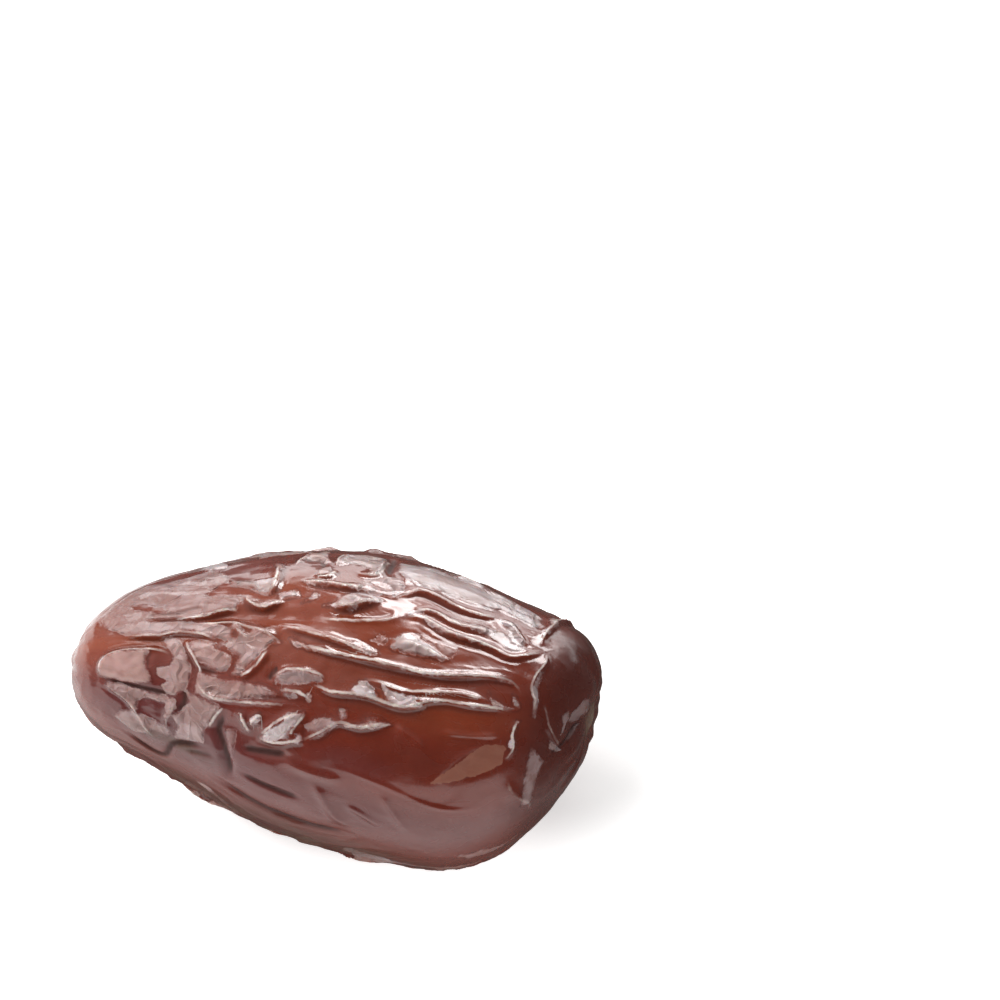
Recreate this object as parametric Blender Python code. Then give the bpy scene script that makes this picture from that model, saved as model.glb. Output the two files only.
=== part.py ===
"""A large ripe medjool date, lying on its side on a flat surface.

The fruit is one solid body. It is a plump oval, blunt at its stem end (+X) and tapered at its tip (-X).
The body is a sphere that is drawn out through seven cross sections. The skin's relief is then pushed out
along the surface: named folds where the skin has lifted in ledges and plates, seeded folds of the same
kind round the back and underside, fine wrinkles between them, the sunken stem scar and the tip's mark.

Metres, +Z up. The origin is on the resting surface, under the middle of the body's box. Sizes in the
tables are millimetres. An angle goes round the body's long axis, in degrees: 0 is the top, 90 is the
front (-Y), 180 is the underside and -90 is the back (+Y).
"""

import math
from typing import NamedTuple

import bmesh
import bpy
import numpy as np
from mathutils import Vector, noise

NAME = "medjool_date"
MM = 0.001
HALF_LENGTH = 24.0
MID_RADIUS = 11.3
RESTING_LEVEL = -1.9  # height of the resting surface below the drawn sections' zero
FOOT_DEPTH = 0.4  # how far the body reaches below the resting surface before its foot is cut flat
RELIEF_DROP = 0.4  # the hollows lie this far inside the drawn sections
CENTRE_SHIFT = (-0.41, 0.4)  # moves the body so that its box stands centred on the origin

ROUND_SEGMENTS = 240  # the sphere's meridians and rings, before it is thinned to KEPT_TRIANGLES
LONG_SEGMENTS = 240
KEPT_TRIANGLES = 11200

SKIN_COLOUR = (0.105, 0.022, 0.011, 1.0)
SKIN_ROUGHNESS = 0.32

FULLNESS_AT_TIP = 0.38
FULLNESS_AT_STEM = 1.47


class Section(NamedTuple):
    """One cross section of the body, in millimetres."""

    x: float
    half_width: float
    half_height: float
    centre_y: float
    centre_z: float


class Fold(NamedTuple):
    """A lifted line in the skin, in millimetres.

    The route is a run of (x, angle) points. Looking along it, the skin rises gently over the left width,
    and falls steeply over the right width into a groove at its foot.
    """

    route: tuple
    height: float
    left: float
    right: float
    groove: float = 0.0


SECTIONS = (
    Section(-24, 12.0, 11.3, -3.7, 12.9),
    Section(-18, 11.0, 10.4, -2.0, 12.1),
    Section(-9, 11.2, 10.5, -0.7, 11.5),
    Section(0, 11.7, 11.0, 0.0, 10.9),
    Section(8, 11.5, 10.8, 0.2, 10.4),
    Section(16, 11.9, 11.2, 0.5, 10.1),
    Section(24, 12.6, 11.8, 3.2, 12.0),
)

LONG_LEDGES = (
    Fold(((-2.8, 17.3), (-0.7, 18.7), (2.5, 19.5), (5, 19.2), (8, 18.7), (11, 17), (13.5, 14), (15.5, 11.8),
          (17, 12), (18, 15), (18.6, 21)), 0.7, 2.4, 0.4, 0.2),
    Fold(((-4.4, 10.5), (-2.5, 12), (0, 13.8), (2, 15), (4, 17), (5.4, 17.8)), 0.45, 1.5, 0.35, 0.2),
    Fold(((-1, 31.5), (1, 33), (2.3, 33.8), (3.8, 33), (5.5, 32.3), (7, 32.8), (8.3, 33), (9.5, 31.5),
          (10.7, 28.3), (12, 26), (14, 25.3), (16, 25), (17.5, 26), (18.5, 27)), 0.55, 1.8, 0.38, 0.2),
    Fold(((4.3, 26.5), (6, 26), (8, 26.7), (9.3, 25.8), (10.7, 24.2), (12, 22.6), (13.3, 21.6), (15, 22),
          (16, 23.5), (16.8, 25)), 0.3, 0.9, 0.35, 0.15),
    Fold(((0.3, 54.5), (1.5, 51), (2.5, 47.3), (3.3, 44.5), (4.2, 44), (5.2, 44.3), (6.2, 43), (7.2, 41.3),
          (8.3, 40)), 0.4, 1.3, 0.4, 0.15),
    Fold(((5.3, -9), (5.3, -11.5), (6, -15), (6.6, -17.5), (7.5, -18), (9, -17.2), (10.5, -16.2),
          (12, -16.6), (13.5, -18.5), (14.3, -20)), 0.5, 2.4, 0.4, 0.2),
    Fold(((6.8, -5), (7.5, -8), (8.7, -9), (10, -8), (11.5, -7.5), (13, -9), (14.5, -10.5)),
         0.35, 1.0, 0.6, 0.1),
    Fold(((6.2, -1.7), (7, -4), (8, -4.9), (9.2, -4), (10.5, -2.2), (12, -1.8), (14.2, -2), (15.5, -1),
          (16.6, 0), (17.5, -2), (18.3, -5), (19.2, -9)), 0.45, 1.0, 0.38, 0.2),
    Fold(((4.8, -8), (5.4, -5), (5.7, -2.3), (5.2, 0.5), (4, 2.8), (2.5, 4.5), (0, 5.4), (-1.2, 5.2)),
         0.32, 0.6, 0.4, 0.1),
    Fold(((6.3, 9.7), (8, 8.3), (9.5, 8.8), (11.3, 10.2)), 0.3, 1.3, 0.55, 0.1),
)

SHOULDER = (
    Fold(((19.8, 28), (19.6, 21), (19.2, 16), (19, 12), (19.1, 6), (19.4, 0), (19.4, -4), (19.2, -9)),
         0.4, 1.0, 0.6, 0.2),
    Fold(((18.3, 50), (18.8, 45), (18.5, 38), (18.5, 34), (18.8, 30)), 0.4, 1.0, 0.5, 0.25),
    Fold(((18.5, -10), (18.5, -22), (18.7, -30), (18.8, -40), (19.4, -52), (19.6, -66)), 0.4, 0.7, 0.7, 0.2),
    Fold(((17.2, -36), (17.4, -28), (18.0, -22)), -0.3, 0.5, 0.5),
    Fold(((18.6, 58), (19.2, 68), (19.9, 76), (20.6, 86), (20.4, 96)), 0.35, 0.9, 0.9),
    Fold(((20.3, 20), (20.8, 30), (21.3, 38), (21.9, 47), (22.4, 56)), 0.2, 0.5, 0.5, 0.1),
)

TOP_PLATES = (
    Fold(((2.6, -46), (3.1, -38), (3.3, -32), (3.5, -26), (4, -22)), -0.55, 0.5, 0.6),
    Fold(((-2.8, -21), (-2.7, -26), (-3.2, -30), (-4, -30.6), (-4.9, -27.5)), -0.4, 0.35, 0.4),
    Fold(((-4.2, -40), (-4.7, -34), (-5.1, -28), (-5.2, -24)), 0.35, 1.1, 0.4, 0.25),
    Fold(((-1.3, -38), (-1.6, -31), (-1.3, -24)), 0.35, 1.0, 0.4, 0.3),
    Fold(((3, -37), (2.8, -28), (2.6, -22), (1.5, -20.5), (0.6, -22)), 0.3, 0.4, 1.0),
    Fold(((-2.9, -16), (-2.2, -15), (-1.3, -17), (-1.2, -22)), 0.3, 0.7, 0.35, 0.2),
    Fold(((-3.7, -12.6), (-2.5, -11.6), (-1, -11), (1, -11), (2.2, -13)), 0.4, 0.8, 0.4, 0.3),
    Fold(((-0.3, -0.8), (1.2, 0), (2.4, -2.6), (4.1, -7.6)), 0.45, 1.2, 0.35, 0.35),
    Fold(((0.3, -3), (0.7, -7), (1.8, -9.4), (4, -9.6)), -0.3, 0.35, 0.4),
    Fold(((-8.3, -5), (-8, -1), (-7.4, 1.5), (-6.4, 3), (-5.4, 1.5), (-4.6, -1.8)), 0.35, 0.5, 0.45, 0.2),
    Fold(((-6.5, -3), (-6, -7), (-6, -12), (-6.3, -19), (-6.8, -26)), 0.5, 1.8, 0.45, 0.35),
    Fold(((-10.5, -17), (-9, -14), (-7.7, -11)), -0.3, 0.4, 0.4),
    Fold(((14.3, -20), (15.4, -18.6), (16.2, -15), (16.8, -12), (17.4, -8)), 0.25, 0.5, 0.6, 0.1),
    Fold(((11.6, -29), (13, -32.5), (14.5, -32.5), (16.8, -31.5)), -0.3, 0.5, 0.5),
    Fold(((4.5, -41), (7, -39), (10, -41), (12.5, -39), (16, -38)), 0.35, 1.2, 0.8, 0.1),
)

TIP_FLAPS = (
    Fold(((-14.2, 9.6), (-12, 9.2), (-11, 7.3), (-10, 5), (-8.4, 4.2)), 0.4, 1.4, 0.4, 0.35),
    Fold(((-16.8, 5.4), (-15, 5.9), (-13.8, 5.4), (-13.2, 4), (-11, 3.7)), -0.28, 0.35, 0.35),
    Fold(((-16.2, 10.4), (-14, 10.2), (-12.3, 10.6)), -0.3, 0.35, 0.35),
    Fold(((-18.9, 20.5), (-18, 22.6), (-16, 22.6), (-14.6, 22), (-14, 19.5), (-13, 18), (-11.5, 18.5),
          (-10, 20), (-9.2, 22.6)), 0.45, 1.7, 0.4, 0.35),
    Fold(((-12.5, 21.5), (-12, 25), (-11.2, 29.5), (-10.5, 34), (-10.2, 38)), 0.5, 1.3, 0.35, 0.45),
    Fold(((-3.4, 18.6), (-4.5, 16), (-5.5, 14), (-7, 13), (-8.4, 11.3), (-10, 12.6), (-12, 11.5)),
         0.4, 1.3, 0.5, 0.15),
    Fold(((-8.3, 11.3), (-7.9, 14.5), (-7.2, 17), (-6.4, 18.8)), 0.25, 0.4, 0.4, 0.15),
    Fold(((-11, 33.5), (-9.8, 35), (-8.4, 35.6)), -0.28, 0.4, 0.4),
    Fold(((-6.6, 35.5), (-5.6, 32), (-4.9, 27), (-4.5, 21.5)), 0.35, 0.7, 0.5, 0.2),
    Fold(((-3.9, 35), (-3.5, 31), (-3, 27.5)), -0.4, 0.45, 0.4),
    Fold(((-3.5, 33.5), (-2.6, 29.8), (-1, 28), (0.5, 28.3), (1.6, 30)), 0.4, 0.6, 1.0),
    Fold(((-2.6, 38), (-1, 36.6), (0.6, 38.6)), 0.3, 0.7, 0.6, 0.1),
    Fold(((-13.3, 30), (-14.5, 28.2), (-16, 28.4), (-18, 30), (-19.3, 33), (-19.9, 38), (-20, 45),
          (-19.8, 51)), 0.5, 1.8, 0.45, 0.25),
    Fold(((-19.7, 51), (-17, 51.2), (-14.5, 50.7), (-12, 51)), -0.45, 0.4, 0.4),
    Fold(((-15.1, 29.5), (-15.4, 34), (-15, 39)), -0.25, 0.3, 0.9),
    Fold(((-11.6, 44), (-11.2, 51), (-11.8, 59)), -0.45, 0.5, 0.5),
)

LOWER_FRONT = (
    Fold(((-1, 41.5), (-3, 42.8), (-5, 44.3), (-7, 45.7), (-8.5, 45.9), (-9.6, 44), (-10.2, 41.3),
          (-10.6, 38)), 0.45, 1.4, 0.35, 0.35),
    Fold(((-7, 48.6), (-7.4, 55), (-7.6, 60), (-7, 66), (-6.6, 71), (-6.2, 79), (-6.6, 86)), -0.75, 0.8, 0.7),
    Fold(((-7.2, 48), (-8, 54), (-8.6, 61)), 0.3, 0.4, 0.8),
    Fold(((-5.8, 48.5), (-5.3, 52.5), (-4.6, 57.5)), 0.35, 0.4, 0.4),
    Fold(((-4.6, 54), (-4.1, 50.5), (-3.6, 47.6)), 0.3, 0.5, 0.4, 0.2),
    Fold(((-3.6, 58), (-2.6, 52), (-1.5, 47.5), (0.2, 43)), 0.4, 0.6, 1.2),
    Fold(((0.3, 43), (-0.2, 48), (-0.9, 54)), 0.35, 0.4, 0.35),
    Fold(((-3.8, 58.6), (-2, 58.2), (-0.5, 55.8), (0.6, 53.6)), 0.45, 1.0, 0.35, 0.45),
    Fold(((-5.5, 65.2), (-4, 64.3), (-2, 62.8), (-0.4, 61)), -0.5, 0.5, 0.55),
    Fold(((8.3, 40), (10, 42), (11.7, 45.5)), 0.2, 0.9, 0.9),
    Fold(((12.2, 37.6), (14, 37.4), (16, 37.2), (17.8, 37.6)), 0.2, 0.8, 0.4, 0.15),
    Fold(((12.5, 58.5), (13.5, 53), (14.5, 47.5), (15.8, 43), (16.8, 40.8)), 0.16, 0.5, 1.2),
    Fold(((-19.5, 53), (-18.3, 57), (-16.7, 61), (-15.7, 67), (-14.5, 75), (-13.5, 82)), 0.4, 0.7, 0.6, 0.3),
    Fold(((-12.2, 52), (-12.3, 58), (-12.7, 66), (-12.2, 72)), 0.35, 0.6, 0.6, 0.15),
    Fold(((-17.4, 84), (-14.4, 91), (-12.9, 90), (-12, 79), (-10.8, 74.5), (-9.5, 72), (-7.8, 70.6)),
         -0.5, 0.5, 0.45),
    Fold(((-10.8, 78.5), (-9, 75.8), (-7.5, 74.4)), -0.3, 0.35, 0.35),
    Fold(((-5.6, 76.5), (-3, 79), (-1, 79.6), (1.6, 80)), -0.4, 0.45, 0.4),
    Fold(((-8.4, 86), (-4, 92), (1.3, 95), (6.6, 93.4)), -0.6, 0.6, 0.7),
    Fold(((-9, 96), (-3, 101), (4, 104), (9.6, 100)), 0.4, 0.9, 0.7, 0.3),
    Fold(((3.5, 62), (8, 64), (12.5, 69), (17.5, 72)), 0.25, 1.6, 1.4),
)

NAMED_FOLDS = LONG_LEDGES + SHOULDER + TOP_PLATES + TIP_FLAPS + LOWER_FRONT


class Patch(NamedTuple):
    """A soft oval area of the skin: its middle, its half sizes, and a strength at its middle."""

    x: float
    angle: float
    half_x: float
    half_angle: float
    strength: float


SWELLS = (
    Patch(-6.0, 7.0, 6.5, 4.5, -0.4),
    Patch(9.0, -29.0, 6.0, 9.0, 0.35),
    Patch(1.5, -4.5, 2.2, 4.0, 0.25),
    Patch(-16.5, 40.0, 3.6, 10.0, 0.3),
    Patch(9.0, 55.0, 9.0, 11.0, 0.3),
    Patch(-10.0, 28.0, 2.4, 6.0, 0.25),
    Patch(7.5, 29.5, 3.6, 3.0, 0.25),
)

TAUT_AREAS = (
    Patch(22.5, 0.0, 3.6, 400.0, 0.8),
    Patch(10.0, 56.0, 10.5, 15.0, 0.85),
    Patch(-17.0, 41.0, 4.0, 11.0, 0.8),
    Patch(9.0, -29.0, 6.0, 9.0, 0.7),
    Patch(-20.0, 22.0, 4.5, 9.0, 0.5),
)


def natural_spline(knots, values, places):
    """Read the smooth curve through the values, one row for each knot, at the given places."""
    knots = np.asarray(knots, float)
    values = np.asarray(values, float)
    gaps = np.diff(knots)
    slopes = np.diff(values, axis=0) / gaps[:, None]
    system = np.eye(len(knots))
    right = np.zeros(values.shape)
    for i in range(1, len(knots) - 1):
        system[i, i - 1 : i + 2] = gaps[i - 1], 2 * (gaps[i - 1] + gaps[i]), gaps[i]
        right[i] = 6 * (slopes[i] - slopes[i - 1])
    bends = np.linalg.solve(system, right)
    i = np.clip(np.searchsorted(knots, places, side="right") - 1, 0, len(knots) - 2)
    gap = gaps[i][:, None]
    past = (places - knots[i])[:, None]
    left = gap - past
    curved = (bends[i] * left**3 + bends[i + 1] * past**3) / (6 * gap)
    straight = (values[i] * left + values[i + 1] * past) / gap
    return curved + straight - (bends[i] * left + bends[i + 1] * past) * gap / 6


def body_point(turn, angle):
    """Place points on the plain body: turn is 0 at the tip and pi at the stem end, angle is in radians."""
    across = -np.cos(turn)
    x = HALF_LENGTH * across
    knots = [section.x for section in SECTIONS]
    shape = natural_spline(knots, [section[1:] for section in SECTIONS], x)
    to_tip = (1 - across) / 2
    to_stem = (1 + across) / 2
    fullness = 1 + FULLNESS_AT_TIP * to_tip**2 + FULLNESS_AT_STEM * to_stem**2
    reach = np.sqrt(np.maximum(1 - across**2, 0) * fullness)
    y = shape[:, 2] - shape[:, 0] * reach * np.sin(angle)
    z = shape[:, 3] + shape[:, 1] * reach * np.cos(angle)
    return np.column_stack([x, y, z])


def body_normals(turn, angle):
    """Directions straight out of the plain body."""
    step = 1e-3
    inner = np.clip(turn, 2 * step, math.pi - 2 * step)
    along = body_point(inner + step, angle) - body_point(inner - step, angle)
    around = body_point(inner, angle + step) - body_point(inner, angle - step)
    normals = np.cross(around, along)
    return normals / np.linalg.norm(normals, axis=1)[:, None]


def run_along(x):
    """Distance from the tip along the skin, in millimetres, for a height x on the long axis."""
    turns = np.linspace(0, math.pi, 721)
    top = body_point(turns, np.zeros(721))
    front = body_point(turns, np.full(721, math.pi / 2))
    top_steps = np.linalg.norm(np.diff(top, axis=0), axis=1)
    front_steps = np.linalg.norm(np.diff(front, axis=0), axis=1)
    runs = np.concatenate([[0], np.cumsum((top_steps + front_steps) / 2)])
    return np.interp(x, -HALF_LENGTH * np.cos(turns), runs)


def eased(share):
    """A smooth rise from 0 to 1."""
    share = np.clip(share, 0, 1)
    return share * share * (3 - 2 * share)


def angle_between(first, second):
    """The turn from one angle to another, between -180 and 180 degrees."""
    return (first - second + 180) % 360 - 180


def fold_relief(folds, x, angle):
    """Add up how far each fold lifts the skin at each place, in millimetres."""
    lift = np.zeros(len(x))
    run = run_along(x)
    for number, fold in enumerate(folds):
        route = np.array(fold.route, float)
        points = np.column_stack([run_along(route[:, 0]), MID_RADIUS * np.radians(route[:, 1])])
        chords = np.concatenate([[0], np.cumsum(np.linalg.norm(np.diff(points, axis=0), axis=1))])
        count = max(12, int(chords[-1] / 0.25))
        curve = natural_spline(chords, points, np.linspace(0, chords[-1], count))
        tangents = np.gradient(curve, axis=0)
        tangents /= np.linalg.norm(tangents, axis=1)[:, None]
        margin = 3.2 * max(fold.left, fold.right)
        middle = np.degrees(curve[:, 1].mean() / MID_RADIUS)
        side = middle + angle_between(angle, middle)
        around = MID_RADIUS * np.radians(side)
        low = curve.min(axis=0) - margin
        high = curve.max(axis=0) + margin
        near = np.nonzero((run > low[0]) & (run < high[0]) & (around > low[1]) & (around < high[1]))[0]
        if not len(near):
            continue
        away_run = run[near][:, None] - curve[None, :, 0]
        away_side = around[near][:, None] - curve[None, :, 1]
        nearest = np.argmin(away_run**2 + away_side**2, axis=1)
        rows = np.arange(len(near))
        dx = away_run[rows, nearest]
        dy = away_side[rows, nearest]
        tangent = tangents[nearest]
        offset = tangent[:, 0] * dy - tangent[:, 1] * dx
        forward = tangent[:, 0] * dx + tangent[:, 1] * dy
        share = np.clip(nearest / (count - 1) + forward / max(chords[-1], 1), 0, 1)
        ends = eased(np.minimum(share, 1 - share) / 0.24)
        vary = 1 + 0.22 * np.sin(share * chords[-1] * 0.9 + number * 2.1)
        width = np.where(offset < 0, fold.left, fold.right)
        crest = fold.height * np.exp(-(np.abs(offset / width) ** np.where(offset < 0, 1.3, 1.9)))
        foot = fold.groove * np.exp(-(((offset - 1.9 * fold.right) / (0.95 * fold.right)) ** 2))
        lift[near] += ends * vary * (crest - foot)
    return lift


def scattered_folds(seed, count, angles, heights):
    """Draw folds of the same kind at seeded places, running mostly along the body."""
    rng = np.random.default_rng(seed)
    folds = []
    for _ in range(count):
        length = rng.uniform(5, 17)
        start = rng.uniform(-20, 19 - length)
        angle = rng.uniform(*angles)
        drift = rng.normal(0, 7)
        wave = rng.uniform(1.5, 5)
        phase = rng.uniform(0, 6.3)
        steps = np.linspace(0, 1, 7)
        route = [(start + length * t, angle + drift * t + wave * math.sin(phase + 5.5 * t)) for t in steps]
        if rng.random() < 0.45:
            route.reverse()
        height = rng.uniform(*heights)
        left = rng.uniform(1.1, 2.2)
        right = rng.uniform(0.5, 0.85)
        folds.append(Fold(tuple(route), height, left, right, height * rng.uniform(0.3, 0.7)))
    return tuple(folds)


def patch_strength(patches, x, angle):
    """Add up the patches' strengths at each place."""
    total = np.zeros(len(x))
    for patch in patches:
        far = ((x - patch.x) / patch.half_x) ** 2
        far = far + (angle_between(angle, patch.angle) / patch.half_angle) ** 2
        total += patch.strength * np.exp(-(far**1.5))
    return total


def wrinkle_relief(points):
    """Low wrinkles drawn out along the body, from 0 in the hollows to 1 on the crests."""
    lifts = np.zeros(len(points))
    for i, (x, y, z) in enumerate(points):
        bend = noise.noise(Vector((x / 6, y / 5, z / 5 + 40)))
        sway = noise.noise(Vector((x / 4.5 + 17, y / 4, z / 4)))
        place = Vector((x / 6.5 + sway, y / 2.3 + 1.1 * bend, z / 2.3 - 1.1 * bend))
        lifts[i] = max(0.0, 1 - 2.1 * abs(noise.noise(place))) ** 2
    return lifts


def end_relief(x, angle, turn):
    """The stem scar sunk in a puckered hollow at one end, and the small mark at the other."""
    from_stem = (math.pi - turn) * 12.5
    from_tip = turn * 12.5
    rays = np.cos(np.radians(angle) * 9 + 1.3 * np.sin(np.radians(angle) * 2)) * 0.5
    rays = rays + 0.5 * np.cos(np.radians(angle) * 14 + 2)
    hollow = -0.95 * np.exp(-((from_stem / 1.9) ** 2))
    rim = 0.35 * np.exp(-(((from_stem - 2.9) / 0.9) ** 2))
    plug = 0.4 * np.exp(-((from_stem / 0.75) ** 4))
    pucker = 0.13 * rays * np.exp(-(((from_stem - 3.2) / 1.9) ** 2))
    point = 0.12 * np.exp(-((from_tip / 0.7) ** 2)) - 0.25 * np.exp(-(((from_tip - 1.6) / 0.9) ** 2))
    tip_pucker = 0.14 * rays * np.exp(-(((from_tip - 2.6) / 1.4) ** 2))
    return hollow + rim + plug + pucker + point + tip_pucker


def skin_relief(turn, angle, points):
    """How far the skin stands out from the plain body, in millimetres."""
    x = points[:, 0]
    degrees = np.degrees(angle)
    hidden = scattered_folds(11, 44, (108, 304), (0.3, 0.65))
    upper_left = scattered_folds(5, 9, (-44, -4), (0.2, 0.42))
    folds = fold_relief(NAMED_FOLDS + hidden, x, degrees)
    left_side = fold_relief(upper_left, x, degrees) * eased((-8 - x) / 3)
    swell = patch_strength(SWELLS, x, degrees)
    slack = 1 - np.clip(patch_strength(TAUT_AREAS, x, degrees), 0, 0.9)
    seen = eased((105 - np.abs(degrees - 25)) / 40)
    wrinkles = (0.36 - 0.2 * seen) * slack * (wrinkle_relief(points) - 0.3)
    ends = eased(np.minimum(turn, math.pi - turn) / 0.32)
    return ends * (folds + left_side + swell + wrinkles - RELIEF_DROP) + end_relief(x, degrees, turn)


def shape_body(mesh):
    """Make the date from a sphere whose poles become the tip and the stem end."""
    shaped = bmesh.new()
    bmesh.ops.create_uvsphere(shaped, u_segments=ROUND_SEGMENTS, v_segments=LONG_SEGMENTS, radius=1)
    ball = np.array([vertex.co for vertex in shaped.verts])
    turn = np.arccos(np.clip(-ball[:, 2], -1, 1))
    angle = np.arctan2(ball[:, 1], ball[:, 0])
    plain = body_point(turn, angle)
    lift = skin_relief(turn, angle, plain)
    above = plain[:, 2] - RESTING_LEVEL
    settled = eased((above + 0.1) / 1.3)
    out = body_normals(turn, angle)
    placed = plain + out * (lift * settled)[:, None]
    placed[:, 2] = np.maximum(placed[:, 2], RESTING_LEVEL - FOOT_DEPTH)
    placed -= (CENTRE_SHIFT[0], CENTRE_SHIFT[1], RESTING_LEVEL)
    for vertex, place in zip(shaped.verts, placed):
        vertex.co = Vector(place) * MM
    bmesh.ops.recalc_face_normals(shaped, faces=shaped.faces)
    shaped.to_mesh(mesh)
    shaped.free()
    mesh.shade_smooth()


def skin_material():
    """Dark red-brown, softly shining skin."""
    material = bpy.data.materials.new("date_skin")
    material.use_nodes = True
    shader = material.node_tree.nodes["Principled BSDF"]
    shader.inputs["Base Color"].default_value = SKIN_COLOUR
    shader.inputs["Roughness"].default_value = SKIN_ROUGHNESS
    shader.inputs["Metallic"].default_value = 0.0
    material.diffuse_color = SKIN_COLOUR
    return material


def foot_cutter():
    """A block whose top is the resting surface: it cuts the foot flat."""
    mesh = bpy.data.meshes.new("foot_cutter")
    block = bmesh.new()
    bmesh.ops.create_cube(block, size=1)
    bmesh.ops.scale(block, vec=(0.08, 0.06, 0.01), verts=block.verts)
    bmesh.ops.translate(block, vec=(0, 0, -0.005), verts=block.verts)
    block.to_mesh(mesh)
    block.free()
    cutter = bpy.data.objects.new("foot_cutter", mesh)
    bpy.context.scene.collection.objects.link(cutter)
    cutter.hide_render = True
    cutter.display_type = "WIRE"
    return cutter


def main():
    for old in list(bpy.data.objects):
        bpy.data.objects.remove(old)
    mesh = bpy.data.meshes.new(NAME)
    shape_body(mesh)
    mesh.materials.append(skin_material())
    date = bpy.data.objects.new(NAME, mesh)
    bpy.context.scene.collection.objects.link(date)
    thinned = date.modifiers.new("thinned", "DECIMATE")
    thinned.decimate_type = "COLLAPSE"
    thinned.ratio = KEPT_TRIANGLES / (2 * ROUND_SEGMENTS * (LONG_SEGMENTS - 1))
    flattened = date.modifiers.new("flat_foot", "BOOLEAN")
    flattened.operation = "DIFFERENCE"
    flattened.solver = "EXACT"
    flattened.object = foot_cutter()


main()
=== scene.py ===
"""Finished look of one large medjool date that lies on its side on a pale floor.

The fruit is one piece. DateBody draws it from cross sections, lifts its folds, adds fine creases with a
Geometry Nodes tree, and dresses it with DateSkin. Tables hold millimetres; an angle goes round the long
axis in degrees: 0 is the top, 90 the front (-Y), 180 the underside and -90 the back (+Y).
"""

import logging
import math
from dataclasses import dataclass, field
from enum import Enum

import bpy
import numpy as np
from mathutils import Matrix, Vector, noise


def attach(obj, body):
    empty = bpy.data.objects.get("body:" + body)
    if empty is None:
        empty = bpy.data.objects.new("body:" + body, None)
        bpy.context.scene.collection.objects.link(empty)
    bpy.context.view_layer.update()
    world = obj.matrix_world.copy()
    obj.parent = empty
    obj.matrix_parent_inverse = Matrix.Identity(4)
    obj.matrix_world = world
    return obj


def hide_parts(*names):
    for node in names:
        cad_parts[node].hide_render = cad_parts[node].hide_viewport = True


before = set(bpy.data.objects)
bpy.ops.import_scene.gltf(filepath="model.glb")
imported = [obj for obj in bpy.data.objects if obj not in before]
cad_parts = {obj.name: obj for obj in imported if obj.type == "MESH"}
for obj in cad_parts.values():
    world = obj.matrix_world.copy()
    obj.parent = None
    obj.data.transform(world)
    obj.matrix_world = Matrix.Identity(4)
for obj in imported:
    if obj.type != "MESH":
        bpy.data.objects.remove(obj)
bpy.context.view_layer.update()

logging.basicConfig(level=logging.INFO, format="%(message)s")
LOG = logging.getLogger("date")

MM = 0.001
NODE_NAME = "medjool_date"
PIECE_NAME = "date_flesh_and_skin"

# Power that sets how flat a patch is at its middle.
PATCH_FALLOFF = 1.5
# Millimetres of skin for each radian of turn, near either end.
END_RADIUS = 12.5
# The side with the drawn folds: its middle, its half width and its fading edge, in degrees.
SEEN_MIDDLE = 25
SEEN_HALF = 105
SEEN_FADE = 40

Span = tuple[float, float]
Route = tuple[Span, ...]
Colour = tuple[float, float, float, float]
Value = bpy.types.NodeSocket | float | str | tuple[float, ...] | Vector


@dataclass(frozen=True)
class Section:
    """One cross section of the body, in millimetres."""

    x: float
    half_width: float
    half_height: float
    centre_y: float
    centre_z: float


@dataclass(frozen=True)
class Fold:
    """A lifted line in the skin, in millimetres.

    Looking along the route of (x, angle) points, the skin rises gently over the left width and falls
    steeply over the right width into a groove at its foot. Lip says how strongly its crest line is drawn:
    the painted highlight along it, the painted shadow at its foot and the small drop in the bump. A fold
    with a height below 0 is a groove.
    """

    route: Route
    height: float
    left: float
    right: float
    groove: float = 0.0
    lip: float = 1.0


@dataclass(frozen=True)
class Patch:
    """A soft oval area of the skin: its middle, its half sizes, and a strength at its middle."""

    x: float
    angle: float
    half_x: float
    half_angle: float
    strength: float


@dataclass(frozen=True)
class Plate:
    """A piece of skin that has lifted off the flesh and gone pale.

    The outline's points are (x, angle). Pale and cool run from 0 to 1; a plate that is 0 pale is a gap that
    shows the flesh again. A plate's paleness is partly the lifted skin's own colour and partly a painted
    highlight where the piece would catch the light.
    """

    outline: Route
    pale: float
    cool: float = 0.3


@dataclass(frozen=True)
class Scatter:
    """How folds are scattered. Each pair holds the least and the most, in millimetres or degrees."""

    seed: int
    count: int
    angles: Span
    heights: Span
    lengths: Span = (5, 17)
    widths: Span = (1.1, 2.2)
    drops: Span = (0.5, 0.85)


@dataclass(frozen=True)
class Ring:
    """A soft ring round one end of the body: its distance from the end, its half width and its lift."""

    distance: float
    half_width: float
    lift: float
    power: int = 2

    def at(self, run: np.ndarray) -> np.ndarray:
        """Return the lift at distances from the end, all in millimetres."""
        return self.lift * np.exp(-(((run - self.distance) / self.half_width) ** self.power))


class Mask(Enum):
    """Names of the point attributes that the skin's material reads."""

    LEDGE = "ledge_offset"
    LINE = "ledge_line"
    HOLLOW = "hollow"
    SLACK = "slack"
    EDGE = "plate_edge"
    PALE = "plate_pale"
    COOL = "plate_cool"
    WARM = "warm"
    # The mauve, dark and flesh masks mix the skin's own tones with painted light: a reflection of the floor
    # on the lower front, and shade on the lower edge and the far upper side.
    MAUVE_AND_SHEEN = "mauve_and_sheen"
    DARK = "dark"
    FLESH_AND_SHADE = "flesh"
    FACET = "facet"
    SCAR = "scar"


SECTIONS = (
    Section(-24, 12.0, 11.3, -3.7, 12.9),
    Section(-18, 11.0, 10.4, -2.0, 12.1),
    Section(-9, 11.2, 10.5, -0.7, 11.5),
    Section(0, 11.7, 11.0, 0.0, 10.9),
    Section(8, 11.5, 10.8, 0.2, 10.4),
    Section(16, 11.9, 11.2, 0.5, 10.1),
    Section(24, 12.6, 11.8, 3.2, 12.0),
)

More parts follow.
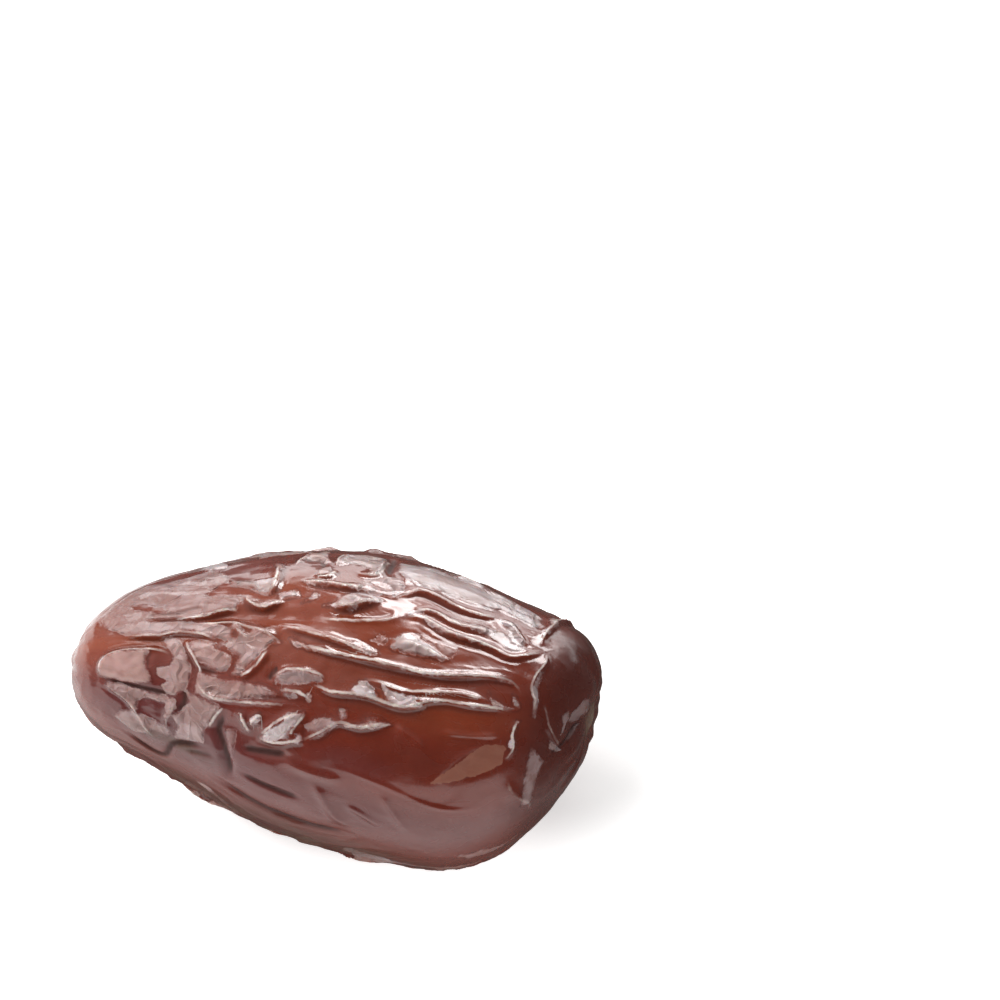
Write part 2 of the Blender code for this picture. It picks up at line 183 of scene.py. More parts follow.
LONG_LEDGES = (
    Fold(((-2.8, 17.3), (-0.7, 18.7), (2.5, 19.5), (5, 19.2), (8, 18.7), (11, 17), (13.5, 14), (15.5, 11.8),
          (17, 12), (18, 15), (18.6, 21)), 0.7, 2.4, 0.4, 0.2),
    Fold(((-4.4, 10.5), (-2.5, 12), (0, 13.8), (2, 15), (4, 17), (5.4, 17.8)), 0.45, 1.5, 0.35, 0.2),
    Fold(((-1, 31.5), (1, 33), (2.3, 33.8), (3.8, 33), (5.5, 32.3), (7, 32.8), (8.3, 33), (9.5, 31.5),
          (10.7, 28.3), (12, 26), (14, 25.3), (16, 25), (17.5, 26), (18.5, 27)), 0.55, 1.8, 0.38, 0.2),
    Fold(((4.3, 26.5), (6, 26), (8, 26.7), (9.3, 25.8), (10.7, 24.2), (12, 22.6), (13.3, 21.6), (15, 22),
          (16, 23.5), (16.8, 25)), 0.3, 0.9, 0.35, 0.15),
    Fold(((0.3, 54.5), (1.5, 51), (2.5, 47.3), (3.3, 44.5), (4.2, 44), (5.2, 44.3), (6.2, 43), (7.2, 41.3),
          (8.3, 40)), 0.4, 1.3, 0.4, 0.15),
    Fold(((5.3, -9), (5.3, -11.5), (6, -15), (6.6, -17.5), (7.5, -18), (9, -17.2), (10.5, -16.2),
          (12, -16.6), (13.5, -18.5), (14.3, -20)), 0.5, 2.4, 0.4, 0.2),
    Fold(((6.8, -5), (7.5, -8), (8.7, -9), (10, -8), (11.5, -7.5), (13, -9), (14.5, -10.5)), 0.35, 1.0, 0.6,
          0.1),
    Fold(((6.2, -1.7), (7, -4), (8, -4.9), (9.2, -4), (10.5, -2.2), (12, -1.8), (14.2, -2), (15.5, -1),
          (16.6, 0), (17.5, -2), (18.3, -5), (19.2, -9)), 0.45, 1.0, 0.38, 0.2),
    Fold(((4.8, -8), (5.4, -5), (5.7, -2.3), (5.2, 0.5), (4, 2.8), (2.5, 4.5), (0, 5.4), (-1.2, 5.2)), 0.32,
          0.6, 0.4, 0.1),
    Fold(((6.3, 9.7), (8, 8.3), (9.5, 8.8), (11.3, 10.2)), 0.3, 1.3, 0.55, 0.1),
)

SHOULDER = (
    Fold(((19.8, 28), (19.6, 21), (19.2, 16), (19, 12), (19.1, 6), (19.4, 0), (19.4, -4), (19.2, -9)), 0.4,
          1.0, 0.6, 0.2),
    Fold(((18.3, 50), (18.8, 45), (18.5, 38), (18.5, 34), (18.8, 30)), 0.4, 1.0, 0.5, 0.25),
    Fold(((18.5, -10), (18.5, -22), (18.7, -30), (18.8, -40), (19.4, -52), (19.6, -66)), 0.4, 0.7, 0.7,
          0.2),
    Fold(((17.2, -36), (17.4, -28), (18.0, -22)), -0.3, 0.5, 0.5),
    Fold(((18.6, 58), (19.2, 68), (19.9, 76), (20.6, 86), (20.4, 96)), 0.35, 0.9, 0.9, 0.0, 0.2),
    Fold(((20.3, 20), (20.8, 30), (21.3, 38), (21.9, 47), (22.4, 56)), 0.2, 0.5, 0.5, 0.1, 0.4),
    Fold(((21.5, 58), (22.3, 56), (23.1, 50), (23.5, 44), (23.8, 41)), -0.4, 0.5, 0.6),
)

TOP_FOLDS = (
    Fold(((2.6, -46), (3.1, -38), (3.3, -32), (3.5, -26), (4, -22)), -0.55, 0.5, 0.6),
    Fold(((-2.8, -21), (-2.7, -26), (-3.2, -30), (-4, -30.6), (-4.9, -27.5)), -0.4, 0.35, 0.4),
    Fold(((-4.2, -40), (-4.7, -34), (-5.1, -28), (-5.2, -24)), 0.35, 1.1, 0.4, 0.25),
    Fold(((-1.3, -38), (-1.6, -31), (-1.3, -24)), 0.35, 1.0, 0.4, 0.3),
    Fold(((3, -37), (2.8, -28), (2.6, -22), (1.5, -20.5), (0.6, -22)), 0.3, 0.4, 1.0),
    Fold(((-2.9, -16), (-2.2, -15), (-1.3, -17), (-1.2, -22)), 0.3, 0.7, 0.35, 0.2),
    Fold(((-3.7, -12.6), (-2.5, -11.6), (-1, -11), (1, -11), (2.2, -13)), 0.4, 0.8, 0.4, 0.3),
    Fold(((-0.3, -0.8), (1.2, 0), (2.4, -2.6), (4.1, -7.6)), 0.45, 1.2, 0.35, 0.35),
    Fold(((0.3, -3), (0.7, -7), (1.8, -9.4), (4, -9.6)), -0.3, 0.35, 0.4),
    Fold(((-8.3, -5), (-8, -1), (-7.4, 1.5), (-6.4, 3), (-5.4, 1.5), (-4.6, -1.8)), 0.35, 0.5, 0.45, 0.2),
    Fold(((-6.5, -3), (-6, -7), (-6, -12), (-6.3, -19), (-6.8, -26)), 0.5, 1.8, 0.45, 0.35),
    Fold(((-10.5, -17), (-9, -14), (-7.7, -11)), -0.3, 0.4, 0.4),
    Fold(((14.3, -20), (15.4, -18.6), (16.2, -15), (16.8, -12), (17.4, -8)), 0.25, 0.5, 0.6, 0.1),
    Fold(((11.6, -29), (13, -32.5), (14.5, -32.5), (16.8, -31.5)), -0.3, 0.5, 0.5),
    Fold(((4.5, -41), (7, -39), (10, -41), (12.5, -39), (16, -38)), 0.35, 1.2, 0.8, 0.1),
)

TIP_FLAPS = (
    Fold(((-14.2, 9.6), (-12, 9.2), (-11, 7.3), (-10, 5), (-8.4, 4.2)), 0.4, 1.4, 0.4, 0.35),
    Fold(((-16.8, 5.4), (-15, 5.9), (-13.8, 5.4), (-13.2, 4), (-11, 3.7)), -0.28, 0.35, 0.35),
    Fold(((-16.2, 10.4), (-14, 10.2), (-12.3, 10.6)), -0.3, 0.35, 0.35),
    Fold(((-18.9, 19), (-18, 20.3), (-16, 20.8), (-14.6, 20.2), (-14, 18.8), (-13, 18), (-11.5, 18.4),
          (-10, 20), (-9.2, 22.6)), 0.45, 1.7, 0.4, 0.35, 0.45),
    Fold(((-12.5, 21.5), (-12, 25), (-11.2, 29.5), (-10.5, 34), (-10.2, 38)), 0.5, 1.3, 0.35, 0.45),
    Fold(((-3.4, 18.6), (-4.5, 16), (-5.5, 14), (-7, 13), (-8.4, 11.3), (-10, 12.6), (-12, 11.5)), 0.4, 1.3,
          0.5, 0.15),
    Fold(((-8.3, 11.3), (-7.9, 14.5), (-7.2, 17), (-6.4, 18.8)), 0.25, 0.4, 0.4, 0.15),
    Fold(((-11, 33.5), (-9.8, 35), (-8.4, 35.6)), -0.28, 0.4, 0.4),
    Fold(((-6.6, 35.5), (-5.6, 32), (-4.9, 27), (-4.5, 21.5)), 0.35, 0.7, 0.5, 0.2),
    Fold(((-3.9, 35), (-3.5, 31), (-3, 27.5)), -0.4, 0.45, 0.4),
    Fold(((-3.5, 33.5), (-2.6, 29.8), (-1, 28), (0.5, 28.3), (1.6, 30)), 0.4, 0.6, 1.0),
    Fold(((-2.6, 38), (-1, 36.6), (0.6, 38.6)), 0.3, 0.7, 0.6, 0.1),
    Fold(((-13.3, 30), (-14.5, 28.2), (-16, 28.4), (-18, 30), (-19.3, 33), (-19.9, 38), (-20, 45),
          (-19.8, 51)), 0.5, 1.8, 0.45, 0.25),
    Fold(((-19.7, 51), (-17, 51.2), (-14.5, 50.7), (-12, 51)), -0.45, 0.4, 0.4),
    Fold(((-15.1, 29.5), (-15.4, 34), (-15, 39)), -0.25, 0.3, 0.9),
    Fold(((-11.6, 44), (-11.2, 51), (-11.8, 59)), -0.45, 0.5, 0.5),
)

LOWER_FRONT = (
    Fold(((-1, 41.5), (-3, 42.8), (-5, 44.3), (-7, 45.7), (-8.5, 45.9), (-9.6, 44), (-10.2, 41.3),
          (-10.6, 38)), 0.45, 1.4, 0.35, 0.35),
    Fold(((-7, 48.6), (-7.4, 55), (-7.6, 60), (-7, 66), (-6.6, 71), (-6.2, 79), (-6.6, 86)), -0.75, 0.8,
          0.7),
    Fold(((-7.2, 48), (-8, 54), (-8.6, 61)), 0.3, 0.4, 0.8),
    Fold(((-5.8, 48.5), (-5.3, 52.5), (-4.6, 57.5)), 0.35, 0.4, 0.4),
    Fold(((-4.6, 54), (-4.1, 50.5), (-3.6, 47.6)), 0.3, 0.5, 0.4, 0.2),
    Fold(((-3.6, 58), (-2.6, 52), (-1.5, 47.5), (0.2, 43)), 0.4, 0.6, 1.2),
    Fold(((0.3, 43), (-0.2, 48), (-0.9, 54)), 0.35, 0.4, 0.35),
    Fold(((-3.8, 58.6), (-2, 58.2), (-0.5, 55.8), (0.6, 53.6)), 0.45, 1.0, 0.35, 0.45),
    Fold(((-5.5, 65.2), (-4, 64.3), (-2, 62.8), (-0.4, 61)), -0.5, 0.5, 0.55),
    Fold(((8.3, 40), (10, 42), (11.7, 45.5)), 0.2, 0.9, 0.9, 0.0, 0.1),
    Fold(((12.2, 37.6), (14, 37.4), (16, 37.2), (17.8, 37.6)), 0.2, 0.8, 0.4, 0.15, 0.15),
    Fold(((12.5, 58.5), (13.5, 53), (14.5, 47.5), (15.8, 43), (16.8, 40.8)), 0.16, 0.5, 1.2, 0.0, 0.25),
    Fold(((-19.5, 53), (-18.3, 57), (-16.7, 61), (-15.7, 67), (-14.5, 75), (-13.5, 82)), 0.4, 0.7, 0.6, 0.3,
          0.5),
    Fold(((-12.2, 52), (-12.3, 58), (-12.7, 66), (-12.2, 72)), 0.35, 0.6, 0.6, 0.15, 0.4),
    Fold(((1.4, 68), (3, 77), (4.2, 85), (5.8, 89)), 0.3, 1.1, 0.8, 0.05, 0.1),
    Fold(((4.8, 77), (6.8, 80.5), (8.6, 85.5)), 0.24, 0.9, 0.7, 0.05, 0.12),
    Fold(((8.1, 68), (9.4, 76), (11, 85)), 0.26, 0.9, 0.8, 0.05, 0.12),
    Fold(((-1.5, 64), (2, 66.5), (5, 66)), 0.3, 1.2, 0.8, 0.1, 0.1),
    Fold(((-17.4, 84), (-14.4, 91), (-12.9, 90), (-12, 79), (-10.8, 74.5), (-9.5, 72), (-7.8, 70.6)), -0.5,
          0.5, 0.45),
    Fold(((-10.8, 78.5), (-9, 75.8), (-7.5, 74.4)), -0.3, 0.35, 0.35),
    Fold(((-5.6, 76.5), (-3, 79), (-1, 79.6), (1.6, 80)), -0.4, 0.45, 0.4),
    Fold(((-8.4, 86), (-4, 92), (1.3, 95), (6.6, 93.4)), -0.6, 0.6, 0.7),
    Fold(((-9, 96), (-3, 101), (4, 104), (9.6, 100)), 0.4, 0.9, 0.7, 0.3, 0.0),
    Fold(((3.5, 62), (8, 64), (12.5, 69), (17.5, 72)), 0.12, 1.6, 1.6, 0.0, 0.0),
)

NAMED_FOLDS = LONG_LEDGES + SHOULDER + TOP_FOLDS + TIP_FLAPS + LOWER_FRONT

HIDDEN_FOLDS = Scatter(11, 42, (126, 302), (0.3, 0.65))
UPPER_FOLDS = Scatter(5, 9, (-44, -4), (0.2, 0.42))
SMALL_FOLDS = Scatter(23, 150, (-180, 180), (0.07, 0.16), (1.5, 5), (0.4, 0.9), (0.22, 0.4))

SWELLS = (
    Patch(-6.0, 7.0, 6.5, 4.5, -0.4),
    Patch(9.0, -29.0, 6.0, 9.0, 0.35),
    Patch(1.5, -4.5, 2.2, 4.0, 0.25),
    Patch(-16.5, 40.0, 3.6, 10.0, 0.3),
    Patch(9.0, 55.0, 9.0, 11.0, 0.3),
    Patch(-10.0, 28.0, 2.4, 6.0, 0.25),
    Patch(7.5, 29.5, 3.6, 3.0, 0.25),
    Patch(23.5, 40.0, 0.9, 13.0, -0.8),
    Patch(22.3, -24.0, 2.4, 45.0, 0.42),
    Patch(-4.0, 60.0, 4.0, 6.0, -0.25),
)

TAUT_AREAS = (
    Patch(22.5, 0.0, 3.6, 400.0, 0.9),
    Patch(10.0, 56.0, 10.5, 15.0, 0.85),
    Patch(-17.0, 41.0, 4.0, 11.0, 0.8),
    Patch(9.0, -29.0, 6.0, 9.0, 0.7),
    Patch(-20.0, 22.0, 4.5, 9.0, 0.5),
    Patch(18.0, 104.0, 8.0, 24.0, 0.8),
)

TIP_PLATES = (
    Plate(((-21.8, -8), (-21.4, 2), (-20.8, 9), (-20, 14), (-19, 17.5), (-18.4, 19.8), (-16.5, 20.4),
           (-15, 19.8), (-14.3, 18.4), (-13.6, 17.4), (-12.4, 17.8), (-11, 16), (-12, 11.5), (-14, 10.6),
           (-16.4, 10.8), (-16.8, 9.4), (-14, 9.7), (-12.2, 10), (-11, 7.6), (-10, 5), (-8.8, 4.2),
           (-8.6, 0.2), (-7.8, -1.5), (-8.3, -4.2), (-10, -4.2), (-12, -5), (-11.5, -9), (-11, -12),
           (-10.5, -17), (-11.5, -24), (-13, -30), (-14.5, -26), (-17, -24), (-18.5, -30), (-20.5, -20)),
           0.44, 0.75),
    Plate(((-18.8, -5), (-17.5, -2.5), (-16.3, 0.5), (-15.2, 3.6), (-15.8, 4.6), (-17, 2.8), (-18.2, -0.5)),
           0.0),
    Plate(((-20, 47), (-19.95, 41), (-19.7, 36), (-19.2, 32.5), (-18.2, 30.6), (-16.6, 29.5), (-15.4, 29),
           (-15.6, 32), (-15.5, 36), (-15.3, 39), (-14.8, 43), (-14.6, 46), (-15.2, 48), (-16.2, 49.6),
           (-18, 50.2), (-19.3, 50.6), (-19.9, 50)), 0.85, 0.15),
    Plate(((-14.6, 22), (-14, 19.7), (-13.1, 20.2), (-12.6, 24), (-12, 29), (-11.2, 35), (-11, 40),
           (-11.3, 45), (-12, 50), (-13, 51.3), (-13.8, 47), (-13.2, 44), (-14.3, 42), (-14.5, 38),
           (-13.2, 35.5), (-13.2, 31), (-13.6, 28), (-14.3, 25.5)), 0.66, 0.45),
    Plate(((-19.2, 53), (-18.6, 51.6), (-16, 52), (-13, 51.6), (-12, 51.8), (-11.9, 57), (-12.6, 64),
           (-13, 66), (-13.1, 56), (-15, 56), (-15.7, 59), (-15.6, 66), (-16.2, 65.5), (-16.9, 61),
           (-18, 58), (-19, 56)), 0.62, 0.35),
    Plate(((-17.4, 69), (-16, 66), (-14.6, 66.5), (-13.6, 68), (-12.4, 67), (-12, 73), (-13.5, 79),
           (-16, 82), (-18, 77)), 0.55, 0.5),
    Plate(((-11.8, 46), (-9.5, 47.6), (-7.6, 48.6), (-8, 55), (-8.8, 62), (-8.8, 70), (-10, 72), (-12, 75),
           (-11.5, 66), (-12.4, 61), (-11.4, 57), (-10.9, 51)), 0.6, 0.5),
    Plate(((-7, 59), (-5.8, 57.5), (-5.8, 66), (-5.9, 75), (-6.5, 70)), 0.3, 0.5),
)

MIDDLE_PLATES = (
    Plate(((-10.3, -15), (-8.6, -14), (-6.2, -13.5), (-6, -9), (-6.1, -4), (-7.2, -5), (-8.4, -8.5),
           (-9.6, -10), (-10.2, -12)), 0.8, 0.9),
    Plate(((-7.7, -0.8), (-7.6, 1.2), (-6.8, 3), (-6, 3.1), (-5, 1.6), (-4.6, -0.3), (-5.5, -0.7),
           (-6.3, 0.9), (-7.2, -1.4)), 0.75, 0.4),
    Plate(((-5.4, -5), (-4.6, -5.4), (-4, -7.6), (-3.6, -5.4), (-3.3, -3.4), (-4.2, -2.2), (-4.8, -1.2),
           (-5.2, -2.8)), 1.0, 0.6),
    Plate(((-2.1, -6.8), (-1.7, -5.6), (-1.75, -3.6), (-2.1, -2.4), (-3, -0.3), (-2.7, -2), (-2.3, -3.8)),
           1.0, 0.5),
    Plate(((-0.9, 0.1), (0.1, -1.6), (0.4, -5.4), (1.2, -8.2), (2.2, -9.5), (4, -8.6), (4.3, -7),
           (3.4, -4.8), (2.5, -2.8), (1.9, 1), (0.9, 0.4)), 1.0, 0.7),
    Plate(((2, -6.9), (2.6, -7.5), (3.3, -6.6), (2.8, -6)), 0.0),
    Plate(((-3.7, -13), (-3.1, -14.5), (-2, -14.3), (-1.6, -12.6), (0, -13), (1.8, -14.5), (2.1, -12.4),
           (1.6, -10.5), (0, -10), (-1.6, -9.9), (-3, -10.8)), 0.75, 0.35),
    Plate(((-2.6, -22), (-1.9, -23.8), (-1.5, -21), (-1.1, -17.5), (-1.5, -15.8), (-2.8, -17.8)), 0.95,
           0.6),
    Plate(((-4.9, -27), (-5, -31), (-4.3, -37), (-3.8, -43), (-3, -43), (-2.9, -34), (-2.1, -28),
           (-2.6, -26.5), (-3.4, -30.3), (-4.3, -30)), 1.0, 0.5),
    Plate(((-1.4, -27), (-1.4, -38), (0.5, -40), (2.4, -38.5), (3, -30), (2.9, -21), (1.8, -21),
           (1.5, -25.5), (0.4, -28.5), (-0.7, -26)), 0.9, 0.8),
    Plate(((1.6, -17), (2.4, -18.5), (3.4, -22), (5, -23), (5.5, -18), (5.5, -14.5), (4.9, -10.7),
           (4, -9.9), (2.2, -10.2), (1.8, -13)), 0.62, 0.7),
    Plate(((2.5, -15.6), (3.4, -16.4), (4.2, -14.4), (3.2, -13.2)), 0.0),
    Plate(((-7.3, -29), (-6.5, -27), (-5.9, -22), (-6.3, -20.5), (-6.9, -24)), 0.8, 0.3),
    Plate(((-13.8, -44), (-12.2, -44), (-11.6, -32), (-11.4, -27.5), (-12.3, -26.5), (-13.5, -30),
           (-14, -33)), 1.0, 0.8),
    Plate(((-9.6, -48), (-5, -48), (-4.6, -42), (-6, -40.5), (-8, -39.5), (-9, -37), (-9.4, -40)), 0.85,
           0.5),
    Plate(((-11.9, 21.2), (-11, 20.6), (-9.2, 22), (-9.5, 24), (-8.5, 25.6), (-7.6, 27.6), (-7.5, 30),
           (-7.8, 33.5), (-8.5, 35), (-9.2, 34.5), (-10.8, 31.5), (-11.4, 27.5), (-11.8, 24)), 0.75, 0.25),
    Plate(((-12, 12), (-10.5, 11.6), (-9.5, 13.2), (-8.7, 13.5), (-8.2, 11.4), (-7.6, 12.8), (-7, 16.5),
           (-6.4, 14), (-5.5, 13.4), (-4.8, 15.5), (-3.5, 18.6), (-4.4, 20), (-5, 24), (-5.3, 27), (-6, 31),
           (-6.6, 36), (-7.4, 35), (-7.2, 31), (-7, 27), (-8, 25), (-8.7, 22.5), (-8.2, 20.5), (-10, 19.7),
           (-12, 18.4)), 0.66, 0.5),
    Plate(((-8.3, 15.4), (-7.9, 15.6), (-7.8, 17.6), (-8.2, 18)), 0.0),
    Plate(((-3.3, 32.5), (-2.9, 30), (-2, 28.4), (-0.8, 27.9), (0.8, 28.6), (1.4, 30.5), (0, 32.5),
           (-1.5, 34), (-2.5, 35), (-3, 35.5)), 0.52, 0.7),
    Plate(((-2.3, 37), (-1.3, 36.6), (-0.5, 38.5), (-1, 39.5), (-2.2, 39.2)), 0.6, 0.6),
    Plate(((0.1, 36), (0.6, 36.6), (0.7, 39.4), (0.1, 39)), 0.7, 0.5),
    Plate(((-10.6, 36), (-9.4, 37.2), (-8.3, 37.4), (-6.5, 36.4), (-4, 36.6), (-2.4, 39), (-4, 41.8),
           (-5.6, 44), (-7, 46.6), (-8.6, 48), (-10.4, 47), (-10.5, 41.4)), 0.66, 0.35),
    Plate(((-3.6, 58), (-2.8, 54), (-2, 50), (-1.2, 46), (0.2, 42.9), (0.2, 46), (-0.4, 50), (-0.9, 53),
           (-0.5, 55.4), (-1.5, 55.8), (-2.2, 58), (-3, 59)), 1.0, 0.75),
    Plate(((-4.7, 53), (-4.6, 50.5), (-3.8, 47.6), (-3.6, 50), (-3.9, 53), (-4.4, 54.2)), 1.0, 0.7),
    Plate(((-5.8, 48.5), (-5.2, 51.5), (-4.5, 56.5), (-4.7, 58), (-5.4, 54)), 0.6, 0.5),
    Plate(((-0.1, 52), (0.3, 50.6), (0.5, 54), (0.1, 56.5), (-0.3, 55)), 0.95, 0.5),
)

STEM_PLATES = (
    Plate(((3.6, -37), (6, -38.5), (9, -39), (9.8, -47), (10.8, -47), (11.6, -39), (16, -39), (17.3, -36),
           (17.9, -28), (17.4, -22), (16.4, -24), (14, -25), (13, -22), (9, -19.7), (6.6, -19.5),
           (5.3, -22.5), (4.2, -26)), 0.72, 0.95),
    Plate(((14.2, -19.5), (15.8, -20.6), (16.2, -17), (17, -11), (17.5, -6), (17, -3.6), (16, -3),
           (14.8, -5.5), (13.5, -7), (11.5, -7.5), (8.7, -8.4), (7.2, -5.5), (6.4, -2.6), (6.6, -5.8),
           (7.5, -8.8), (9, -10.2), (11.5, -10.7), (13.5, -11.6), (14.6, -12.6), (15.4, -14.5),
           (14.8, -16)), 0.72, 0.85),
    Plate(((8.1, -5.1), (10, -3.3), (11.2, -3.3), (14.3, -2.8), (14.6, -1.9), (12, -0.9), (10, -1.1),
           (8.5, -3.5)), 0.9, 0.4),
    Plate(((6.1, 11.2), (6.5, 7), (7, 5), (8, 3.2), (8.3, 5.6), (9.5, 6.2), (10.2, 7.8), (11.5, 9.2),
           (11.2, 10.5), (9.6, 10.9), (8.6, 12), (6.8, 12.8), (6.2, 12.2)), 1.0, 0.75),
    Plate(((8.3, 2.2), (9.5, 2.8), (11.8, 2.8), (12, 5), (11.6, 8.6), (10.4, 7.4), (9.7, 5.7), (8.6, 4.8)),
           0.42, 0.4),
    Plate(((4.2, 11.4), (5.2, 6.6), (5.7, 8.2), (6.2, 7.6), (5.9, 11), (5.5, 12.2)), 0.42, 0.3),
    Plate(((2.2, 14.2), (3, 12.6), (4, 13.4), (5.2, 14.8), (5.5, 16.4), (4.8, 17.4), (3.2, 16.1),
           (2.4, 15.3)), 0.9, 0.55),
    Plate(((-2.9, 16.2), (-2, 16.8), (-1, 18.6), (1, 19.2), (3, 19.2), (1.5, 20.1), (-0.8, 20.2),
           (-2.2, 19)), 0.95, 0.3),
    Plate(((6, 19), (8, 17.8), (9, 17), (11, 15), (13, 12), (15, 9.9), (16.5, 9.6), (15.2, 11), (14, 12.3),
           (12, 15.9), (10.4, 18.1), (8, 19.2)), 0.5, 0.9),
    Plate(((15.9, 11.5), (17.2, 12.1), (17.5, 13.3), (16, 12.9)), 0.9, 0.4),
    Plate(((3.9, 31.6), (4.4, 27.6), (5, 26.6), (5.8, 28.6), (6.4, 31), (6.2, 33), (4.4, 32.8)), 1.0, 0.8),
    Plate(((6.4, 26), (7.6, 28), (9, 27.6), (10.8, 26), (11.8, 25.6), (11.8, 26.8), (10.6, 28.3),
           (9.6, 28.6), (10.8, 30.4), (9.8, 32.2), (8.4, 33.6), (7.2, 32.4), (6.9, 30)), 1.0, 0.7),
    Plate(((14.2, 24.6), (16.8, 24), (17.6, 25.2), (14.5, 25.8)), 0.85, 0.5),
    Plate(((15.6, 18), (16, 20.5), (16.7, 22.4), (17.6, 24), (18.4, 24.6), (18.6, 26), (17.4, 25.6),
           (16.2, 24), (15.8, 20.8)), 0.7, 0.6),
    Plate(((17.7, 18), (18, 19.5), (18.5, 22.5), (18.7, 25.6), (18.2, 24), (17.8, 21)), 0.9, 0.7),
    Plate(((3.9, 44.2), (4.8, 43.5), (5.8, 42.3), (6.4, 40.6), (7.2, 39.6), (8.2, 40), (7, 42.4),
           (5.8, 44.5), (4.6, 45.4), (3.9, 45)), 1.0, 0.5),
    Plate(((3.3, 41.4), (3.4, 38.5), (4, 38.8), (4.1, 41.6), (3.6, 43.4)), 0.6, 0.8),
    Plate(((5.4, 40.6), (6.2, 38.8), (7, 38), (7, 39.2), (6, 41)), 0.45, 0.8),
    Plate(((0.4, 48), (1.4, 44.4), (2.8, 42.8), (3.6, 44.6), (3.2, 46.6), (2.2, 48.4), (1, 51)), 0.5, 0.85),
    Plate(((1.5, 51.4), (2, 47.5), (2.7, 45), (3.3, 44), (3.3, 46), (2.7, 49.4), (2.2, 51.4)), 0.55, 0.6),
    Plate(((18.9, 4), (19.2, 9), (19, 14), (19.4, 22), (19.7, 28), (20.1, 30.5), (20, 22), (19.6, 14),
           (19.7, 4)), 0.5, 0.95),
    Plate(((18.2, -44), (18.9, -40), (19.1, -35), (18.8, -22), (18.3, -18.5), (18.1, -23), (18.5, -30),
           (18, -38)), 0.9, 0.7),
    Plate(((18.5, 37.5), (18.8, 41), (18.7, 46), (18.3, 42)), 1.0, 0.7),
    Plate(((18.6, 31), (18.9, 31.4), (18.5, 37), (18.3, 36)), 0.9, 0.7),
    Plate(((20.2, 46), (20.7, 50), (21.4, 60), (21.1, 70), (20.8, 84), (20, 84), (20.1, 70), (20.1, 56)),
           0.32, 0.7),
    Plate(((21.4, 44), (22, 51), (22.6, 60), (22.2, 59), (21.6, 52)), 0.35, 0.9),
    Plate(((22.7, 28), (23.1, 12), (23.5, 6), (23.7, 24), (23.55, 37), (23.2, 41), (22.9, 37)), 0.22, 0.9),
    Plate(((21.9, 30), (22.4, 26), (22.7, 34), (22.6, 43), (22.2, 47), (22.3, 38)), 0.26, 0.8),
)

FACET_OUTLINE = ((12.4, 59), (13, 55.4), (13.8, 52), (14.6, 48.5), (15.2, 45.6), (15.9, 42.6), (16.6, 41),
                 (17.6, 41.4), (18.3, 42.6), (18.2, 46.5), (18.2, 51.4), (17.6, 52.5), (16.8, 53.4),
                 (16.2, 54.8), (15.6, 55.2), (14.8, 56), (14, 57.6), (13.3, 58.2))

WARM_AREAS = (
    Patch(0.0, 5.0, 17.0, 26.0, 0.75),
    Patch(-18.0, 24.0, 5.5, 5.0, 0.9),
    Patch(-22.0, 30.0, 3.5, 50.0, 0.6),
    Patch(-4.8, -12.0, 2.0, 7.0, 0.4),
    Patch(12.0, 32.0, 8.0, 8.0, 0.5),
    Patch(0.0, 104.0, 11.0, 7.0, 0.5),
)

# A mauve tint: on the lower front it is a painted reflection of the floor; the patch high at the back is the
# skin's own tone.
MAUVE_AND_SHEEN_AREAS = (
    Patch(-14.0, 64.0, 10.0, 24.0, 0.9),
    Patch(-1.0, 78.0, 11.0, 14.0, 0.6),
    Patch(5.0, 58.0, 4.5, 6.0, 0.45),
    Patch(14.0, 84.0, 9.0, 12.0, 0.5),
    Patch(-12.0, -25.0, 9.0, 14.0, 0.4),
)

# A dark brown streaked band along the lower edge and near the tip: drawn as bared flesh, and in part painted
# shade where the fruit rests on the floor.
FLESH_AND_SHADE_AREAS = (
    Patch(-3.0, 111.0, 13.0, 12.0, 1.0),
    Patch(-15.0, 93.0, 3.0, 4.0, 0.6),
    Patch(-12.0, 76.5, 4.5, 3.5, 0.9),
)

# Darker skin: the stem end's own darker skin; painted shade along the lower edge where the fruit rests on
# the floor and along the far upper side; two smaller darker patches, on the front and near the tip.
DARK_AND_SHADE_AREAS = (
    Patch(23.0, 0.0, 4.0, 400.0, 1.0),
    Patch(-3.0, 112.0, 18.0, 17.0, 1.0),
    Patch(12.0, 52.0, 7.0, 9.0, 0.3),
    Patch(-9.3, 11.0, 1.6, 3.0, 0.6),
    Patch(9.0, -46.0, 14.0, 6.0, 0.5),
)


def natural_spline(knots: np.ndarray, values: np.ndarray, places: np.ndarray) -> np.ndarray:
    """Read a smooth curve through rows of values.

    Args:
        knots: rising places of the rows.
        values: one row for each knot.
        places: where the curve is read.

    Returns:
        One row for each place.
    """
    knots = np.asarray(knots, float)
    values = np.asarray(values, float)
    gaps = np.diff(knots)
    slopes = np.diff(values, axis=0) / gaps[:, None]
    system = np.eye(len(knots))
    right = np.zeros(values.shape)
    for i in range(1, len(knots) - 1):
        system[i, i - 1 : i + 2] = gaps[i - 1], 2 * (gaps[i - 1] + gaps[i]), gaps[i]
        right[i] = 6 * (slopes[i] - slopes[i - 1])
    bends = np.linalg.solve(system, right)
    i = np.clip(np.searchsorted(knots, places, side="right") - 1, 0, len(knots) - 2)
    gap = gaps[i][:, None]
    past = (places - knots[i])[:, None]
    left = gap - past
    curved = (bends[i] * left**3 + bends[i + 1] * past**3) / (6 * gap)
    straight = (values[i] * left + values[i + 1] * past) / gap
    return curved + straight - (bends[i] * left + bends[i + 1] * past) * gap / 6


def eased(share: np.ndarray) -> np.ndarray:
    """Return a smooth rise from 0 to 1."""
    share = np.clip(share, 0, 1)
    return share * share * (3 - 2 * share)


def angle_between(first: np.ndarray, second: float) -> np.ndarray:
    """Return the turn from one angle to another, between -180 and 180 degrees."""
    return (first - second + 180) % 360 - 180


